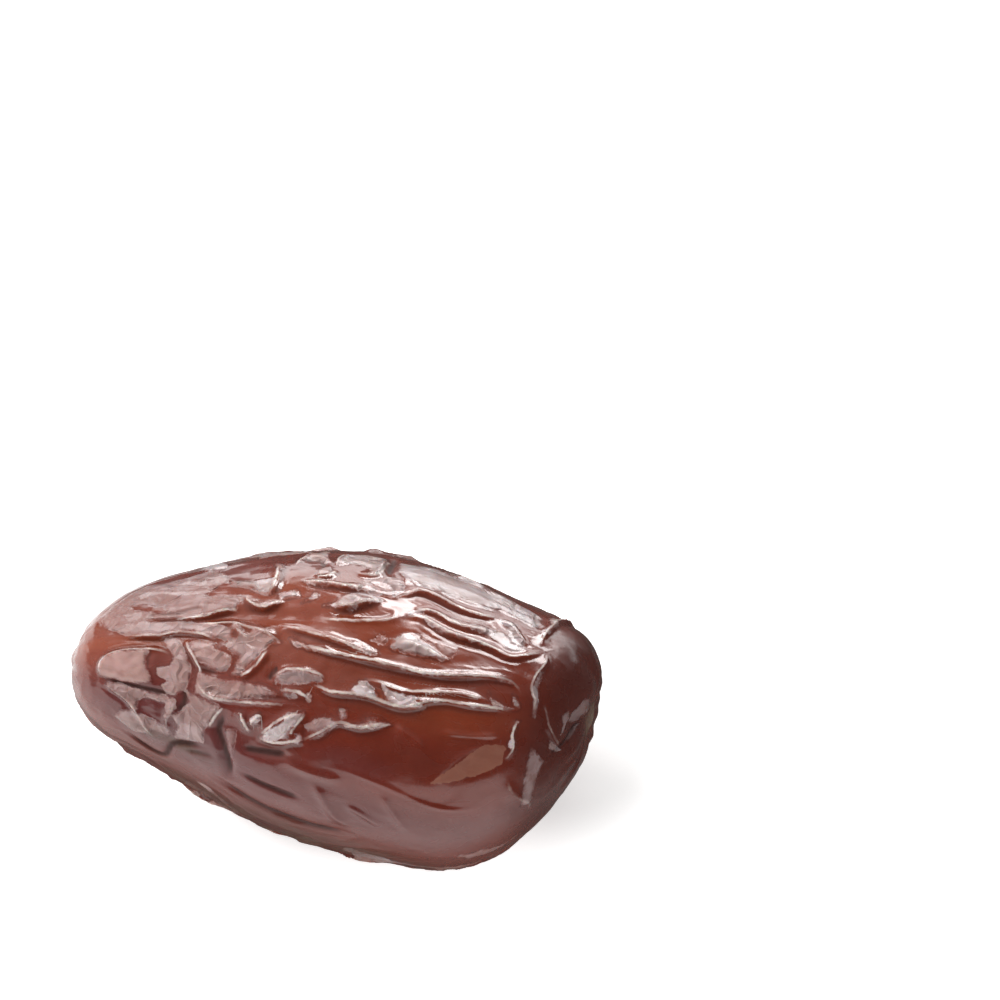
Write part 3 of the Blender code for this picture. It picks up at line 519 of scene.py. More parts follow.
def patch_strength(patches: tuple[Patch, ...], x: np.ndarray, angle: np.ndarray) -> np.ndarray:
    """Add up the patches' strengths.

    Args:
        patches: the soft oval areas.
        x: places along the body, in millimetres.
        angle: places round the body, in degrees.

    Returns:
        The sum at each place.
    """
    total = np.zeros(len(x))
    for patch in patches:
        far = ((x - patch.x) / patch.half_x) ** 2
        far = far + (angle_between(angle, patch.angle) / patch.half_angle) ** 2
        total += patch.strength * np.exp(-(far**PATCH_FALLOFF))
    return total


def scattered_folds(scatter: Scatter) -> tuple[Fold, ...]:
    """Draw folds at seeded places, running mostly along the body.

    Args:
        scatter: how many folds, where, and how large.

    Returns:
        The folds.
    """
    rng = np.random.default_rng(scatter.seed)
    folds = []
    for _ in range(scatter.count):
        length = rng.uniform(*scatter.lengths)
        start = rng.uniform(-20, 19 - length)
        angle = rng.uniform(*scatter.angles)
        drift = rng.normal(0, 7)
        wave = rng.uniform(1.5, 5)
        phase = rng.uniform(0, 6.3)
        steps = np.linspace(0, 1, 7)
        route = [(start + length * t, angle + drift * t + wave * math.sin(phase + 5.5 * t)) for t in steps]
        if rng.random() < 0.45:
            route.reverse()
        height = rng.uniform(*scatter.heights)
        left = rng.uniform(*scatter.widths)
        right = rng.uniform(*scatter.drops)
        folds.append(Fold(tuple(route), height, left, right, height * rng.uniform(0.3, 0.7)))
    return tuple(folds)


@dataclass(frozen=True)
class BodyForm:
    """The plain body under the relief: a sphere drawn out through cross sections."""

    half_length: float = 24.0
    mid_radius: float = 11.3
    fullness_at_tip: float = 0.38
    fullness_at_stem: float = 1.47
    sections: tuple[Section, ...] = SECTIONS

    def point(self, turn: np.ndarray, angle: np.ndarray) -> np.ndarray:
        """Place points on the plain body.

        Args:
            turn: 0 at the tip and pi at the stem end, in radians.
            angle: round the long axis, in radians.

        Returns:
            One row of x, y and z for each point, in millimetres.
        """
        across = -np.cos(turn)
        x = self.half_length * across
        rows = [(s.half_width, s.half_height, s.centre_y, s.centre_z) for s in self.sections]
        shape = natural_spline([s.x for s in self.sections], rows, x)
        to_tip = (1 - across) / 2
        to_stem = (1 + across) / 2
        fullness = 1 + self.fullness_at_tip * to_tip**2 + self.fullness_at_stem * to_stem**2
        reach = np.sqrt(np.maximum(1 - across**2, 0) * fullness)
        y = shape[:, 2] - shape[:, 0] * reach * np.sin(angle)
        z = shape[:, 3] + shape[:, 1] * reach * np.cos(angle)
        return np.column_stack([x, y, z])

    def normals(self, turn: np.ndarray, angle: np.ndarray) -> np.ndarray:
        """Find directions straight out of the plain body.

        Args:
            turn: as in point.
            angle: as in point.

        Returns:
            One unit row for each point.
        """
        step = 1e-3
        inner = np.clip(turn, 2 * step, math.pi - 2 * step)
        along = self.point(inner + step, angle) - self.point(inner - step, angle)
        around = self.point(inner, angle + step) - self.point(inner, angle - step)
        normals = np.cross(around, along)
        return normals / np.linalg.norm(normals, axis=1)[:, None]

    def run_along(self, x: np.ndarray) -> np.ndarray:
        """Return the distance from the tip along the skin for places x on the long axis."""
        turns = np.linspace(0, math.pi, 721)
        top = self.point(turns, np.zeros_like(turns))
        front = self.point(turns, np.full_like(turns, math.pi / 2))
        top_steps = np.linalg.norm(np.diff(top, axis=0), axis=1)
        front_steps = np.linalg.norm(np.diff(front, axis=0), axis=1)
        runs = np.concatenate([[0], np.cumsum((top_steps + front_steps) / 2)])
        return np.interp(x, -self.half_length * np.cos(turns), runs)

    def unrolled(self, x: np.ndarray, angle: np.ndarray) -> np.ndarray:
        """Return the run along the skin and the way round it, in millimetres, one row for each place."""
        return np.column_stack([self.run_along(x), self.mid_radius * np.radians(angle)])


def near_box(places: np.ndarray, corners: np.ndarray, margin: float) -> np.ndarray:
    """Find the places in the box round a line or an outline.

    Args:
        places: one row of two lengths for each place.
        corners: the points of the line or the outline.
        margin: how far the box reaches past them.

    Returns:
        The numbers of those places.
    """
    low = corners.min(axis=0) - margin
    high = corners.max(axis=0) + margin
    return np.nonzero(np.all((places > low) & (places < high), axis=1))[0]


@dataclass
class FoldField:
    """What a set of folds does to the skin.

    It holds the lift, the distance past the nearest crest line (positive on the steep side) with how much
    that line counts, and a mask of hollows. The rival is the second strongest line at each place: where it
    comes close to the strongest, neither is drawn.
    """

    form: BodyForm
    folds: tuple[Fold, ...]
    lip: float = 0.0
    height_share: float = 0.62
    groove_share: float = 0.45
    steep_share: float = 0.6
    route_step: float = 0.25
    end_fade: float = 0.24
    height_waver: float = 0.22
    ledge_reach: float = 1.2
    line_reach: float = 1.1
    full_height: float = 0.45
    clear_lead: float = 0.15
    full_line: float = 0.75
    groove_half: float = 0.4
    lift: np.ndarray = field(init=False)
    ledge: np.ndarray = field(init=False)
    line: np.ndarray = field(init=False)
    hollow: np.ndarray = field(init=False)
    rival: np.ndarray = field(init=False, repr=False)

    def spread(self, x: np.ndarray, angle: np.ndarray) -> "FoldField":
        """Work out the lift and the masks at each place.

        Args:
            x: places along the body, in millimetres.
            angle: places round the body, in degrees.

        Returns:
            This field, filled in.
        """
        self.lift, self.line, self.hollow, self.rival = np.zeros((4, len(x)))
        self.ledge = np.full(len(x), self.ledge_reach)
        run = self.form.run_along(x)
        for number, fold in enumerate(self.folds):
            self._add(number, fold, run, angle)
        lead = np.clip((self.line - self.rival) / self.clear_lead, 0, 1)
        self.line = lead * np.clip(self.line / self.full_line, 0, 1)
        return self

    def _add(self, number: int, fold: Fold, run: np.ndarray, angle: np.ndarray) -> None:
        """Add one fold to the lift and the masks.

        Args:
            number: the fold's place in the set, which sets how its height varies.
            fold: the fold.
            run: distance of each place from the tip along the skin.
            angle: places round the body, in degrees.
        """
        radius = self.form.mid_radius
        points = self.form.unrolled(*np.array(fold.route, float).T)
        chords = np.concatenate([[0], np.cumsum(np.linalg.norm(np.diff(points, axis=0), axis=1))])
        count = max(12, int(chords[-1] / self.route_step))
        curve = natural_spline(chords, points, np.linspace(0, chords[-1], count))
        tangents = np.gradient(curve, axis=0)
        tangents /= np.linalg.norm(tangents, axis=1)[:, None]
        middle = np.degrees(curve[:, 1].mean() / radius)
        around = radius * np.radians(middle + angle_between(angle, middle))
        near = near_box(np.column_stack([run, around]), curve, 3.2 * max(fold.left, fold.right))
        if not len(near):
            return
        away_run = run[near][:, None] - curve[None, :, 0]
        away_side = around[near][:, None] - curve[None, :, 1]
        nearest = np.argmin(away_run**2 + away_side**2, axis=1)
        rows = np.arange(len(near))
        dx = away_run[rows, nearest]
        dy = away_side[rows, nearest]
        tangent = tangents[nearest]
        offset = tangent[:, 0] * dy - tangent[:, 1] * dx
        forward = tangent[:, 0] * dx + tangent[:, 1] * dy
        share = np.clip(nearest / (count - 1) + forward / max(chords[-1], 1), 0, 1)
        ends = eased(np.minimum(share, 1 - share) / self.end_fade)
        vary = 1 + self.height_waver * np.sin(share * chords[-1] * 0.9 + number * 2.1)
        steep = fold.right * self.steep_share
        width = np.where(offset < 0, fold.left, steep)
        away = np.abs(offset / width)
        ramp = 0.5 * np.exp(-(away**1.3)) + 0.5 * np.exp(-((away / 0.32) ** 1.3))
        crest = fold.height * np.where(offset < 0, ramp, np.exp(-(away**2.2)))
        foot_line = np.exp(-(((offset - 1.9 * steep) / (0.95 * steep)) ** 2))
        lip_line = np.exp(-(((offset + 0.08) / 0.2) ** 2))
        rising = self.lip if fold.height > 0 else 0.0
        shape = self.height_share * (crest - self.groove_share * fold.groove * foot_line) + rising * lip_line
        self.lift[near] += ends * vary * shape
        strength = min(1.0, abs(fold.height) / self.full_height)
        if fold.height > 0:
            nearness = np.clip(self.line_reach - np.abs(offset), 0, self.line_reach)
            counts = fold.lip * strength * ends * nearness
            taken = counts > self.line[near]
            self.rival[near] = np.where(taken, self.line[near], np.maximum(self.rival[near], counts))
            self.line[near[taken]] = counts[taken]
            self.ledge[near[taken]] = np.clip(offset[taken], -self.ledge_reach, self.ledge_reach)
        else:
            groove = strength * ends * np.exp(-((offset / self.groove_half) ** 2))
            self.hollow[near] = np.maximum(self.hollow[near], groove)


def inside_distance(points: np.ndarray, outline: np.ndarray) -> np.ndarray:
    """Measure how far points lie inside a closed outline.

    Args:
        points: one row of two lengths for each point.
        outline: the outline's corners in the same lengths.

    Returns:
        The distance to the outline, positive inside.
    """
    nearest = np.full(len(points), np.inf)
    inside = np.zeros(len(points), bool)
    for first, second in zip(outline, np.roll(outline, -1, axis=0)):
        side = second - first
        share = np.clip(((points - first) @ side) / (side @ side), 0, 1)
        nearest = np.minimum(nearest, np.linalg.norm(points - first - share[:, None] * side, axis=1))
        crosses = (first[1] > points[:, 1]) != (second[1] > points[:, 1])
        rise = side[1] if side[1] else 1e-9
        inside ^= crosses & (points[:, 0] < first[0] + (points[:, 1] - first[1]) * side[0] / rise)
    return np.where(inside, nearest, -nearest)


@dataclass
class PlateField:
    """Where the lifted plates of skin lie: distance inside their edges, how pale and how cool they are."""

    form: BodyForm
    plates: tuple[Plate, ...]
    reach: float = 0.8
    edge: np.ndarray = field(init=False)
    pale: np.ndarray = field(init=False)
    cool: np.ndarray = field(init=False)

    def spread(self, x: np.ndarray, angle: np.ndarray) -> "PlateField":
        """Work out the plates' values at each place.

        Args:
            x: places along the body, in millimetres.
            angle: places round the body, in degrees.

        Returns:
            This field, filled in.
        """
        self.edge = np.full(len(x), -self.reach)
        self.pale, self.cool = np.zeros((2, len(x)))
        run = self.form.run_along(x)
        for plate in self.plates:
            outline = np.array(plate.outline, float)
            corners = self.form.unrolled(*outline.T)
            middle = outline[:, 1].mean()
            around = self.form.mid_radius * np.radians(middle + angle_between(angle, middle))
            places = np.column_stack([run, around])
            near = near_box(places, corners, self.reach)
            if not len(near):
                continue
            depth = inside_distance(places[near], corners)
            if plate.pale == 0:
                self.edge[near] = np.minimum(self.edge[near], -depth)
                continue
            taken = depth > self.edge[near]
            self.edge[near[taken]] = depth[taken]
            self.pale[near[taken]] = plate.pale
            self.cool[near[taken]] = plate.cool
        self.edge = np.clip(self.edge, -self.reach, self.reach)
        return self


def scattered_plates(seed: int, count: int, angles: Span) -> tuple[Plate, ...]:
    """Draw lifted plates at seeded places, longer along the body than round it.

    Args:
        seed: start of the random draws.
        count: how many plates.
        angles: lowest and highest angle of a plate's middle.

    Returns:
        The plates.
    """
    rng = np.random.default_rng(seed)
    plates = []
    for _ in range(count):
        x = rng.uniform(-19, 18)
        angle = rng.uniform(*angles)
        half_x = rng.uniform(0.8, 3.4)
        half_angle = rng.uniform(2.2, 7)
        steps = np.linspace(0, 2 * math.pi, 13)[:-1]
        sizes = rng.uniform(0.6, 1.15, 12)
        lean = rng.normal(0, 2.5)
        outline = [(x + half_x * size * math.cos(step), angle + half_angle * size * math.sin(step)
                    + lean * math.cos(step)) for step, size in zip(steps, sizes)]
        plates.append(Plate(tuple(outline), rng.uniform(0.3, 0.8), rng.uniform(0.1, 0.8)))
    return tuple(plates)


class Graph:
    """Short calls for building a node tree."""

    def __init__(self, tree: bpy.types.NodeTree) -> None:
        """Hold the tree.

        Args:
            tree: the tree that nodes go into.
        """
        self.tree = tree

    def node(self, kind: str, settings: dict[str, object] | None = None, **inputs: Value) -> bpy.types.Node:
        """Add a node.

        Args:
            kind: the node's type name.
            settings: attributes of the node itself.
            inputs: socket values or links, by name with _ for a space, or i0, i1 for a place in the list.

        Returns:
            The node.
        """
        node = self.tree.nodes.new(kind)
        for name, value in (settings or {}).items():
            setattr(node, name, value)
        for name, value in inputs.items():
            socket = node.inputs[int(name[1:])] if name[0] == "i" and name[1:].isdigit() else None
            self.feed(socket or node.inputs[name.replace("_", " ")], value)
        return node

    def feed(self, socket: bpy.types.NodeSocket, value: Value) -> None:
        """Link a socket to another, or set its value.

        Args:
            socket: the input.
            value: an output socket, a number, a name, a colour or a vector.
        """
        if isinstance(value, bpy.types.NodeSocket):
            self.tree.links.new(value, socket)
        else:
            socket.default_value = value

    def math(self, operation: str, *values: Value) -> bpy.types.NodeSocket:
        """Return the result of a Math node on up to three values."""
        node = self.tree.nodes.new("ShaderNodeMath")
        node.operation = operation
        for socket, value in zip(node.inputs, values):
            self.feed(socket, value)
        return node.outputs[0]

    def product(self, first: Value, *others: Value) -> Value:
        """Return the product of the values."""
        for other in others:
            first = self.math("MULTIPLY", first, other)
        return first

    def attribute(self, mask: Mask) -> bpy.types.NodeSocket:
        """Return a point attribute's value."""
        return self.node("ShaderNodeAttribute", {"attribute_name": mask.value}).outputs["Fac"]

    def mix(self, share: Value, first: Value, second: Value) -> bpy.types.NodeSocket:
        """Return a colour between two colours."""
        node = self.node("ShaderNodeMix", {"data_type": "RGBA"})
        self.feed(node.inputs[0], share)
        self.feed(node.inputs[6], first)
        self.feed(node.inputs[7], second)
        return node.outputs[2]

    def ramp(self, value: Value, low: Value, high: Value, to_low: Value = 0.0,
             to_high: Value = 1.0) -> bpy.types.NodeSocket:
        """Return a value eased from one range to another.

        Args:
            value: what is read.
            low: the value that gives to_low.
            high: the value that gives to_high.
            to_low: result at low.
            to_high: result at high.

        Returns:
            The result's socket.
        """
        node = self.node("ShaderNodeMapRange", {"interpolation_type": "SMOOTHSTEP"})
        for place, item in enumerate((value, low, high, to_low, to_high)):
            self.feed(node.inputs[place], item)
        return node.outputs[0]

    def band(self, value: Value, rise: Span, fall: Span, peak: float = 1.0) -> Value:
        """Return a value that is 0 on both sides of a band.

        Args:
            value: what is read.
            rise: where the band starts, and where it is full.
            fall: where it starts to fade, and where it is gone.
            peak: the most that it reaches.

        Returns:
            The result's socket.
        """
        return self.product(self.ramp(value, *rise), self.ramp(value, *fall, peak, 0.0))

    def drawn_out(self, place: Value, stretch: Value) -> bpy.types.NodeSocket:
        """Return coordinates whose pattern is drawn out along the fruit where the stretch is below 1."""
        parts = self.node("ShaderNodeSeparateXYZ", Vector=place)
        along = self.math("MULTIPLY", parts.outputs[0], stretch)
        return self.node("ShaderNodeCombineXYZ", X=along, Y=parts.outputs[1], Z=parts.outputs[2]).outputs[0]

    def ridges(self, cloud: Value, sharpness: float) -> bpy.types.NodeSocket:
        """Return thin ridges, 1 high, where a noise passes its middle value."""
        away = self.math("ABSOLUTE", self.math("SUBTRACT", cloud, 0.5))
        return self.math("SUBTRACT", 1.0, self.math("MINIMUM", self.math("MULTIPLY", away, sharpness), 1.0))


def link_object(name: str, data: bpy.types.ID) -> bpy.types.Object:
    """Make an object for a mesh, a light or a camera, and put it in the scene."""
    made = bpy.data.objects.new(name, data)
    bpy.context.scene.collection.objects.link(made)
    return made


def open_group(name: str, inputs: dict[str, tuple[str, float | None]], outputs: dict[str, str],
               tree_type: str = "ShaderNodeTree") -> tuple[Graph, bpy.types.Node, bpy.types.Node]:
    """Start a node group.

    Args:
        name: the group's name.
        inputs: socket type and default for each input.
        outputs: socket type for each output.
        tree_type: the kind of tree.

    Returns:
        The graph, its input node and its output node.
    """
    tree = bpy.data.node_groups.new(name, tree_type)
    for label, (kind, value) in inputs.items():
        socket = tree.interface.new_socket(name=label, in_out="INPUT", socket_type=kind)
        if value is not None:
            socket.default_value = value
    for label, kind in outputs.items():
        tree.interface.new_socket(name=label, in_out="OUTPUT", socket_type=kind)
    graph = Graph(tree)
    return graph, graph.node("NodeGroupInput"), graph.node("NodeGroupOutput")


def mottle_group() -> bpy.types.NodeTree:
    """Build the group that makes soft patches drawn out along the fruit.

    Returns:
        The group: Vector, Scale, Stretch and Sharpness in, Mask out.
    """
    sockets = {
        "Vector": ("NodeSocketVector", None),
        "Scale": ("NodeSocketFloat", 0.3),
        "Stretch": ("NodeSocketFloat", 0.5),
        "Sharpness": ("NodeSocketFloat", 0.2),
    }
    graph, given, result = open_group("skin_mottle", sockets, {"Mask": "NodeSocketFloat"})
    place = graph.drawn_out(given.outputs["Vector"], given.outputs["Stretch"])
    cloud = graph.node("ShaderNodeTexNoise", {"noise_dimensions": "3D"}, Vector=place,
                       Scale=given.outputs["Scale"], Detail=3.0, Roughness=0.55, Distortion=0.6)
    low = graph.math("SUBTRACT", 0.5, given.outputs["Sharpness"])
    high = graph.math("ADD", 0.5, given.outputs["Sharpness"])
    graph.feed(result.inputs["Mask"], graph.ramp(cloud.outputs[0], low, high))
    return graph.tree


def crease_group() -> bpy.types.NodeTree:
    """Build the group that makes thin creases drawn out along the fruit.

    Returns:
        The group: Vector, Scale, Stretch and Depth in, Height out.
    """
    sockets = {
        "Vector": ("NodeSocketVector", None),
        "Scale": ("NodeSocketFloat", 1.0),
        "Stretch": ("NodeSocketFloat", 0.4),
        "Depth": ("NodeSocketFloat", 1.0),
    }
    graph, given, result = open_group("fine_creases", sockets, {"Height": "NodeSocketFloat"})
    place = graph.drawn_out(given.outputs["Vector"], given.outputs["Stretch"])
    cloud = graph.node("ShaderNodeTexNoise", {"noise_dimensions": "3D"}, Vector=place,
                       Scale=given.outputs["Scale"], Detail=2.0, Roughness=0.5, Distortion=0.8)
    height = graph.product(graph.ridges(cloud.outputs[0], 9.0), given.outputs["Depth"])
    graph.feed(result.inputs["Height"], height)
    return graph.tree


@dataclass(frozen=True)
class DateSkin:
    """Glossy folded skin: dark red-brown, orange where it is thin, pale where it has lifted in plates."""

    red: Colour = (0.21, 0.028, 0.012, 1.0)
    warm: Colour = (0.345, 0.067, 0.022, 1.0)
    # The mauve tint: a painted reflection of the floor on the lower front, elsewhere the skin's own tone.
    mauve_and_sheen: Colour = (0.15, 0.036, 0.036, 1.0)
    # The dark colour: the stem end's darker skin, and the colour of painted shade.
    dark: Colour = (0.092, 0.018, 0.012, 1.0)
    lifted: Colour = (0.59, 0.33, 0.29, 1.0)
    # The pale papery colour: the lifted skin's own, and in part a painted highlight on the plates.
    papery_and_glint: Colour = (0.70, 0.62, 0.63, 1.0)
    dusky: Colour = (0.36, 0.20, 0.16, 1.0)
    # The lip colour: a painted highlight along the crest lines, partly the pale dry edge of lifted skin.
    lip: Colour = (0.92, 0.80, 0.74, 1.0)
    # The deep colour: near-black painted shade in the grooves.
    deep: Colour = (0.055, 0.015, 0.010, 1.0)
    tan: Colour = (0.33, 0.118, 0.072, 1.0)
    # The flesh colour: dark brown streaks on the lower edge, in part painted shade at the floor.
    flesh: Colour = (0.125, 0.062, 0.038, 1.0)
    cork: Colour = (0.16, 0.10, 0.065, 1.0)
    roughness: float = 0.25
    foot_shade: float = 0.5
    blotch_share: float = 0.5
    plate_step: float = 0.03
    plate_rim: float = 0.035
    ledge_drop: float = 0.09
    crumple: float = -0.5
    crease_depth: float = 0.018
    pore_depth: float = 0.004
    sag_depth: float = 0.2

    def material(self) -> bpy.types.Material:
        """Build the skin's material.

        Returns:
            The material, which reads Object coordinates and the piece's masks.
        """
        material = bpy.data.materials.new("date_skin_finish")
        material.use_nodes = True
        material.node_tree.nodes.clear()
        graph = Graph(material.node_tree)
        place = graph.node("ShaderNodeTexCoord").outputs["Object"]
        scaled = graph.node("ShaderNodeMapping", Vector=place, Scale=(1 / MM, 1 / MM, 1 / MM)).outputs[0]
        edge = self._ragged_edge(graph, scaled)
        shader = graph.node(
            "ShaderNodeBsdfPrincipled",
            Base_Color=self._colour(graph, scaled, edge),
            Roughness=self._roughness(graph, scaled, edge),
            IOR=1.46,
            Subsurface_Weight=0.2,
            Subsurface_Radius=(1.0, 0.28, 0.14),
            Subsurface_Scale=0.001,
            Coat_Weight=graph.ramp(graph.math("MAXIMUM", graph.attribute(Mask.DARK),
                                              graph.attribute(Mask.HOLLOW)), 0.0, 1.0, 0.85, 0.15),
            Coat_Roughness=0.08,
            Coat_IOR=1.45,
            Normal=self._normal(graph, scaled, edge),
        )
        graph.node("ShaderNodeOutputMaterial", Surface=shader.outputs[0])
        return material

    def _mottle(self, graph: Graph, place: bpy.types.NodeSocket, scale: float, stretch: float,
                sharpness: float) -> bpy.types.NodeSocket:
        """Place the mottle group.

        Args:
            graph: the material's graph.
            place: coordinates in millimetres.
            scale: patches for each millimetre.
            stretch: below 1 draws patches out along the fruit.
            sharpness: half the width of a patch's edge.

        Returns:
            The mask's socket.
        """
        group = bpy.data.node_groups.get("skin_mottle") or mottle_group()
        node = graph.node("ShaderNodeGroup", {"node_tree": group}, Vector=place, Scale=scale,
                          Stretch=stretch, Sharpness=sharpness)
        return node.outputs["Mask"]

    def _roughened(self, graph: Graph, place: bpy.types.NodeSocket, mask: Mask, scale: float,
                   most: float) -> bpy.types.NodeSocket:
        """Roughen the outline that a distance mask draws.

        Args:
            graph: the material's graph.
            place: coordinates in millimetres.
            mask: the distance mask.
            scale: wiggles for each millimetre.
            most: the width of the wiggles, in millimetres.

        Returns:
            The changed distance, in millimetres.
        """
        cloud = graph.node("ShaderNodeTexNoise", Vector=place, Scale=scale, Detail=3.0, Roughness=0.6)
        shift = graph.math("MULTIPLY", graph.math("SUBTRACT", cloud.outputs[0], 0.5), most)
        return graph.math("ADD", graph.attribute(mask), shift)

    def _ragged_edge(self, graph: Graph, place: bpy.types.NodeSocket) -> bpy.types.NodeSocket:
        """Return the distance inside a lifted plate, with a ragged outline."""
        return self._roughened(graph, place, Mask.EDGE, 1.6, 0.55)

    def _ledge_offset(self, graph: Graph, place: bpy.types.NodeSocket) -> bpy.types.NodeSocket:
        """Return the distance past the nearest crest line, with a slight waver."""
        return self._roughened(graph, place, Mask.LEDGE, 1.3, 0.3)

    def _crumple(self, graph: Graph, place: bpy.types.NodeSocket) -> bpy.types.NodeSocket:
        """Make flat facets between crisp ridges, as in a crumpled film.

        Args:
            graph: the material's graph.
            place: coordinates in millimetres.

        Returns:
            The distance from the nearest ridge, in cells of about a millimetre and a half.
        """
        sway = graph.node("ShaderNodeTexNoise", Vector=place, Scale=0.42, Detail=1.0)
        shifted = graph.node("ShaderNodeVectorMath", {"operation": "MULTIPLY_ADD"}, i0=sway.outputs["Color"],
                             i1=(4.0, 4.0, 4.0), i2=place)
        cells = graph.node("ShaderNodeTexVoronoi", {"feature": "DISTANCE_TO_EDGE"},
                           Vector=graph.drawn_out(shifted.outputs[0], 0.6), Scale=0.72)
        return cells.outputs["Distance"]

    def _colour(self, graph: Graph, place: bpy.types.NodeSocket,
                edge: bpy.types.NodeSocket) -> bpy.types.NodeSocket:
        """Mix the skin's colours.

        Args:
            graph: the material's graph.
            place: coordinates in millimetres.
            edge: distance inside a plate.

        Returns:
            The colour's socket.
        """
        broad = self._mottle(graph, place, 0.17, 0.6, 0.2)
        small = self._mottle(graph, place, 0.8, 0.5, 0.16)
        ledge = self._ledge_offset(graph, place)
        warm = graph.product(graph.attribute(Mask.WARM), graph.ramp(broad, 0.0, 1.0, 0.75, 1.0))
        colour = graph.mix(warm, self.red, self.warm)
        # Mauve tint: on the lower front a painted reflection of the floor, elsewhere the skin's own tone.
        colour = graph.mix(graph.attribute(Mask.MAUVE_AND_SHEEN), colour, self.mauve_and_sheen)
        # Darker toward the dark colour: the stem end's own skin and a random mottle, and painted shade on
        # the lower edge and along the far upper side.
        shade = graph.math("MAXIMUM", graph.attribute(Mask.DARK), graph.product(broad, 0.25))
        colour = graph.mix(shade, colour, self.dark)
        # Dark brown streaks on the lower edge: drawn as bared flesh, in part painted shade at the floor.
        streaks = graph.product(graph.attribute(Mask.FLESH_AND_SHADE), self._mottle(graph, place, 0.7, 0.3, 0.2))
        colour = graph.mix(streaks, colour, self.flesh)
        # Painted shade: the grooves darken toward the near-black deep colour.
        groove = graph.ramp(graph.attribute(Mask.HOLLOW), 0.35, 0.9, 0.0, 0.8)
        colour = graph.mix(groove, colour, self.deep)
        # Painted shadow: just below each ledge's crest the skin darkens toward the dark colour.
        foot = graph.product(graph.band(ledge, (0.1, 0.28), (0.35, 0.9)), graph.attribute(Mask.LINE))
        colour = graph.mix(graph.product(foot, self.foot_shade), colour, self.dark)
        # The plates' pale colours: the lifted skin's own colour, and in part a painted highlight.
        skin = graph.mix(graph.attribute(Mask.COOL), self.lifted, self.papery_and_glint)
        softness = graph.ramp(small, 0.1, 0.9, 0.05, 0.5)
        blotch = graph.product(self._mottle(graph, place, 0.38, 0.6, 0.1), self.blotch_share)
        skin = graph.mix(blotch, skin, self.dusky)
        # Painted shade: a thin dark line just outside each lifted plate, under its rim.
        plate_edge_shade = graph.product(graph.band(edge, (-0.26, -0.1), (-0.1, 0.0)), graph.attribute(Mask.PALE))
        colour = graph.mix(graph.product(plate_edge_shade, self.foot_shade), colour, self.dark)
        inside = graph.product(graph.ramp(edge, -0.05, softness), graph.attribute(Mask.PALE),
                               graph.ramp(self._crumple(graph, place), 0.06, 0.4, 1.0, 0.82),
                               graph.ramp(graph.attribute(Mask.FLESH_AND_SHADE), 0.2, 0.8, 1.0, 0.2))
        colour = graph.mix(inside, colour, skin)
        # Painted highlight: the ledges' crest lines turn toward the near-white lip colour, partly the pale
        # dry edge of the lifted skin; the patchy and small mottles break it up.
        patchy = self._mottle(graph, place, 0.45, 0.8, 0.14)
        lip = graph.product(graph.band(ledge, (-0.24, -0.08), (0.0, 0.1)), graph.attribute(Mask.LINE),
                            graph.ramp(small, 0.0, 1.0, 1.0, 0.6), graph.ramp(patchy, 0.0, 1.0, 0.45, 1.0))
        colour = graph.mix(lip, colour, self.lip)
        ragged = graph.product(graph.math("SUBTRACT", edge, graph.attribute(Mask.EDGE)), 1.2)
        facet = graph.ramp(graph.math("ADD", graph.attribute(Mask.FACET), ragged), -0.03, 0.04)
        facet = graph.product(facet, graph.ramp(small, 0.0, 1.0, 0.95, 0.78))
        colour = graph.mix(facet, colour, self.tan)
        return graph.mix(graph.attribute(Mask.SCAR), colour, self.cork)

    def _roughness(self, graph: Graph, place: bpy.types.NodeSocket,
                   edge: bpy.types.NodeSocket) -> bpy.types.NodeSocket:
        """Vary the gloss.

        Args:
            graph: the material's graph.
            place: coordinates in millimetres.
            edge: distance inside a plate.

        Returns:
            The roughness's socket.
        """
        patches = self._mottle(graph, place, 0.5, 0.6, 0.2)
        rough = graph.ramp(patches, 0.0, 1.0, self.roughness - 0.05, self.roughness + 0.07)
        rough = graph.math("ADD", rough, graph.ramp(edge, -0.05, 0.1, 0.0, 0.06))
        matt = graph.ramp(graph.attribute(Mask.FACET), -0.04, 0.04, 0.0, 0.25)
        matt = graph.math("ADD", matt, graph.product(graph.attribute(Mask.FLESH_AND_SHADE), 0.3))
        corky = graph.product(graph.attribute(Mask.SCAR), 0.4)
        deep = graph.product(graph.attribute(Mask.HOLLOW), 0.35)
        return graph.math("ADD", graph.math("ADD", rough, matt), graph.math("ADD", corky, deep))

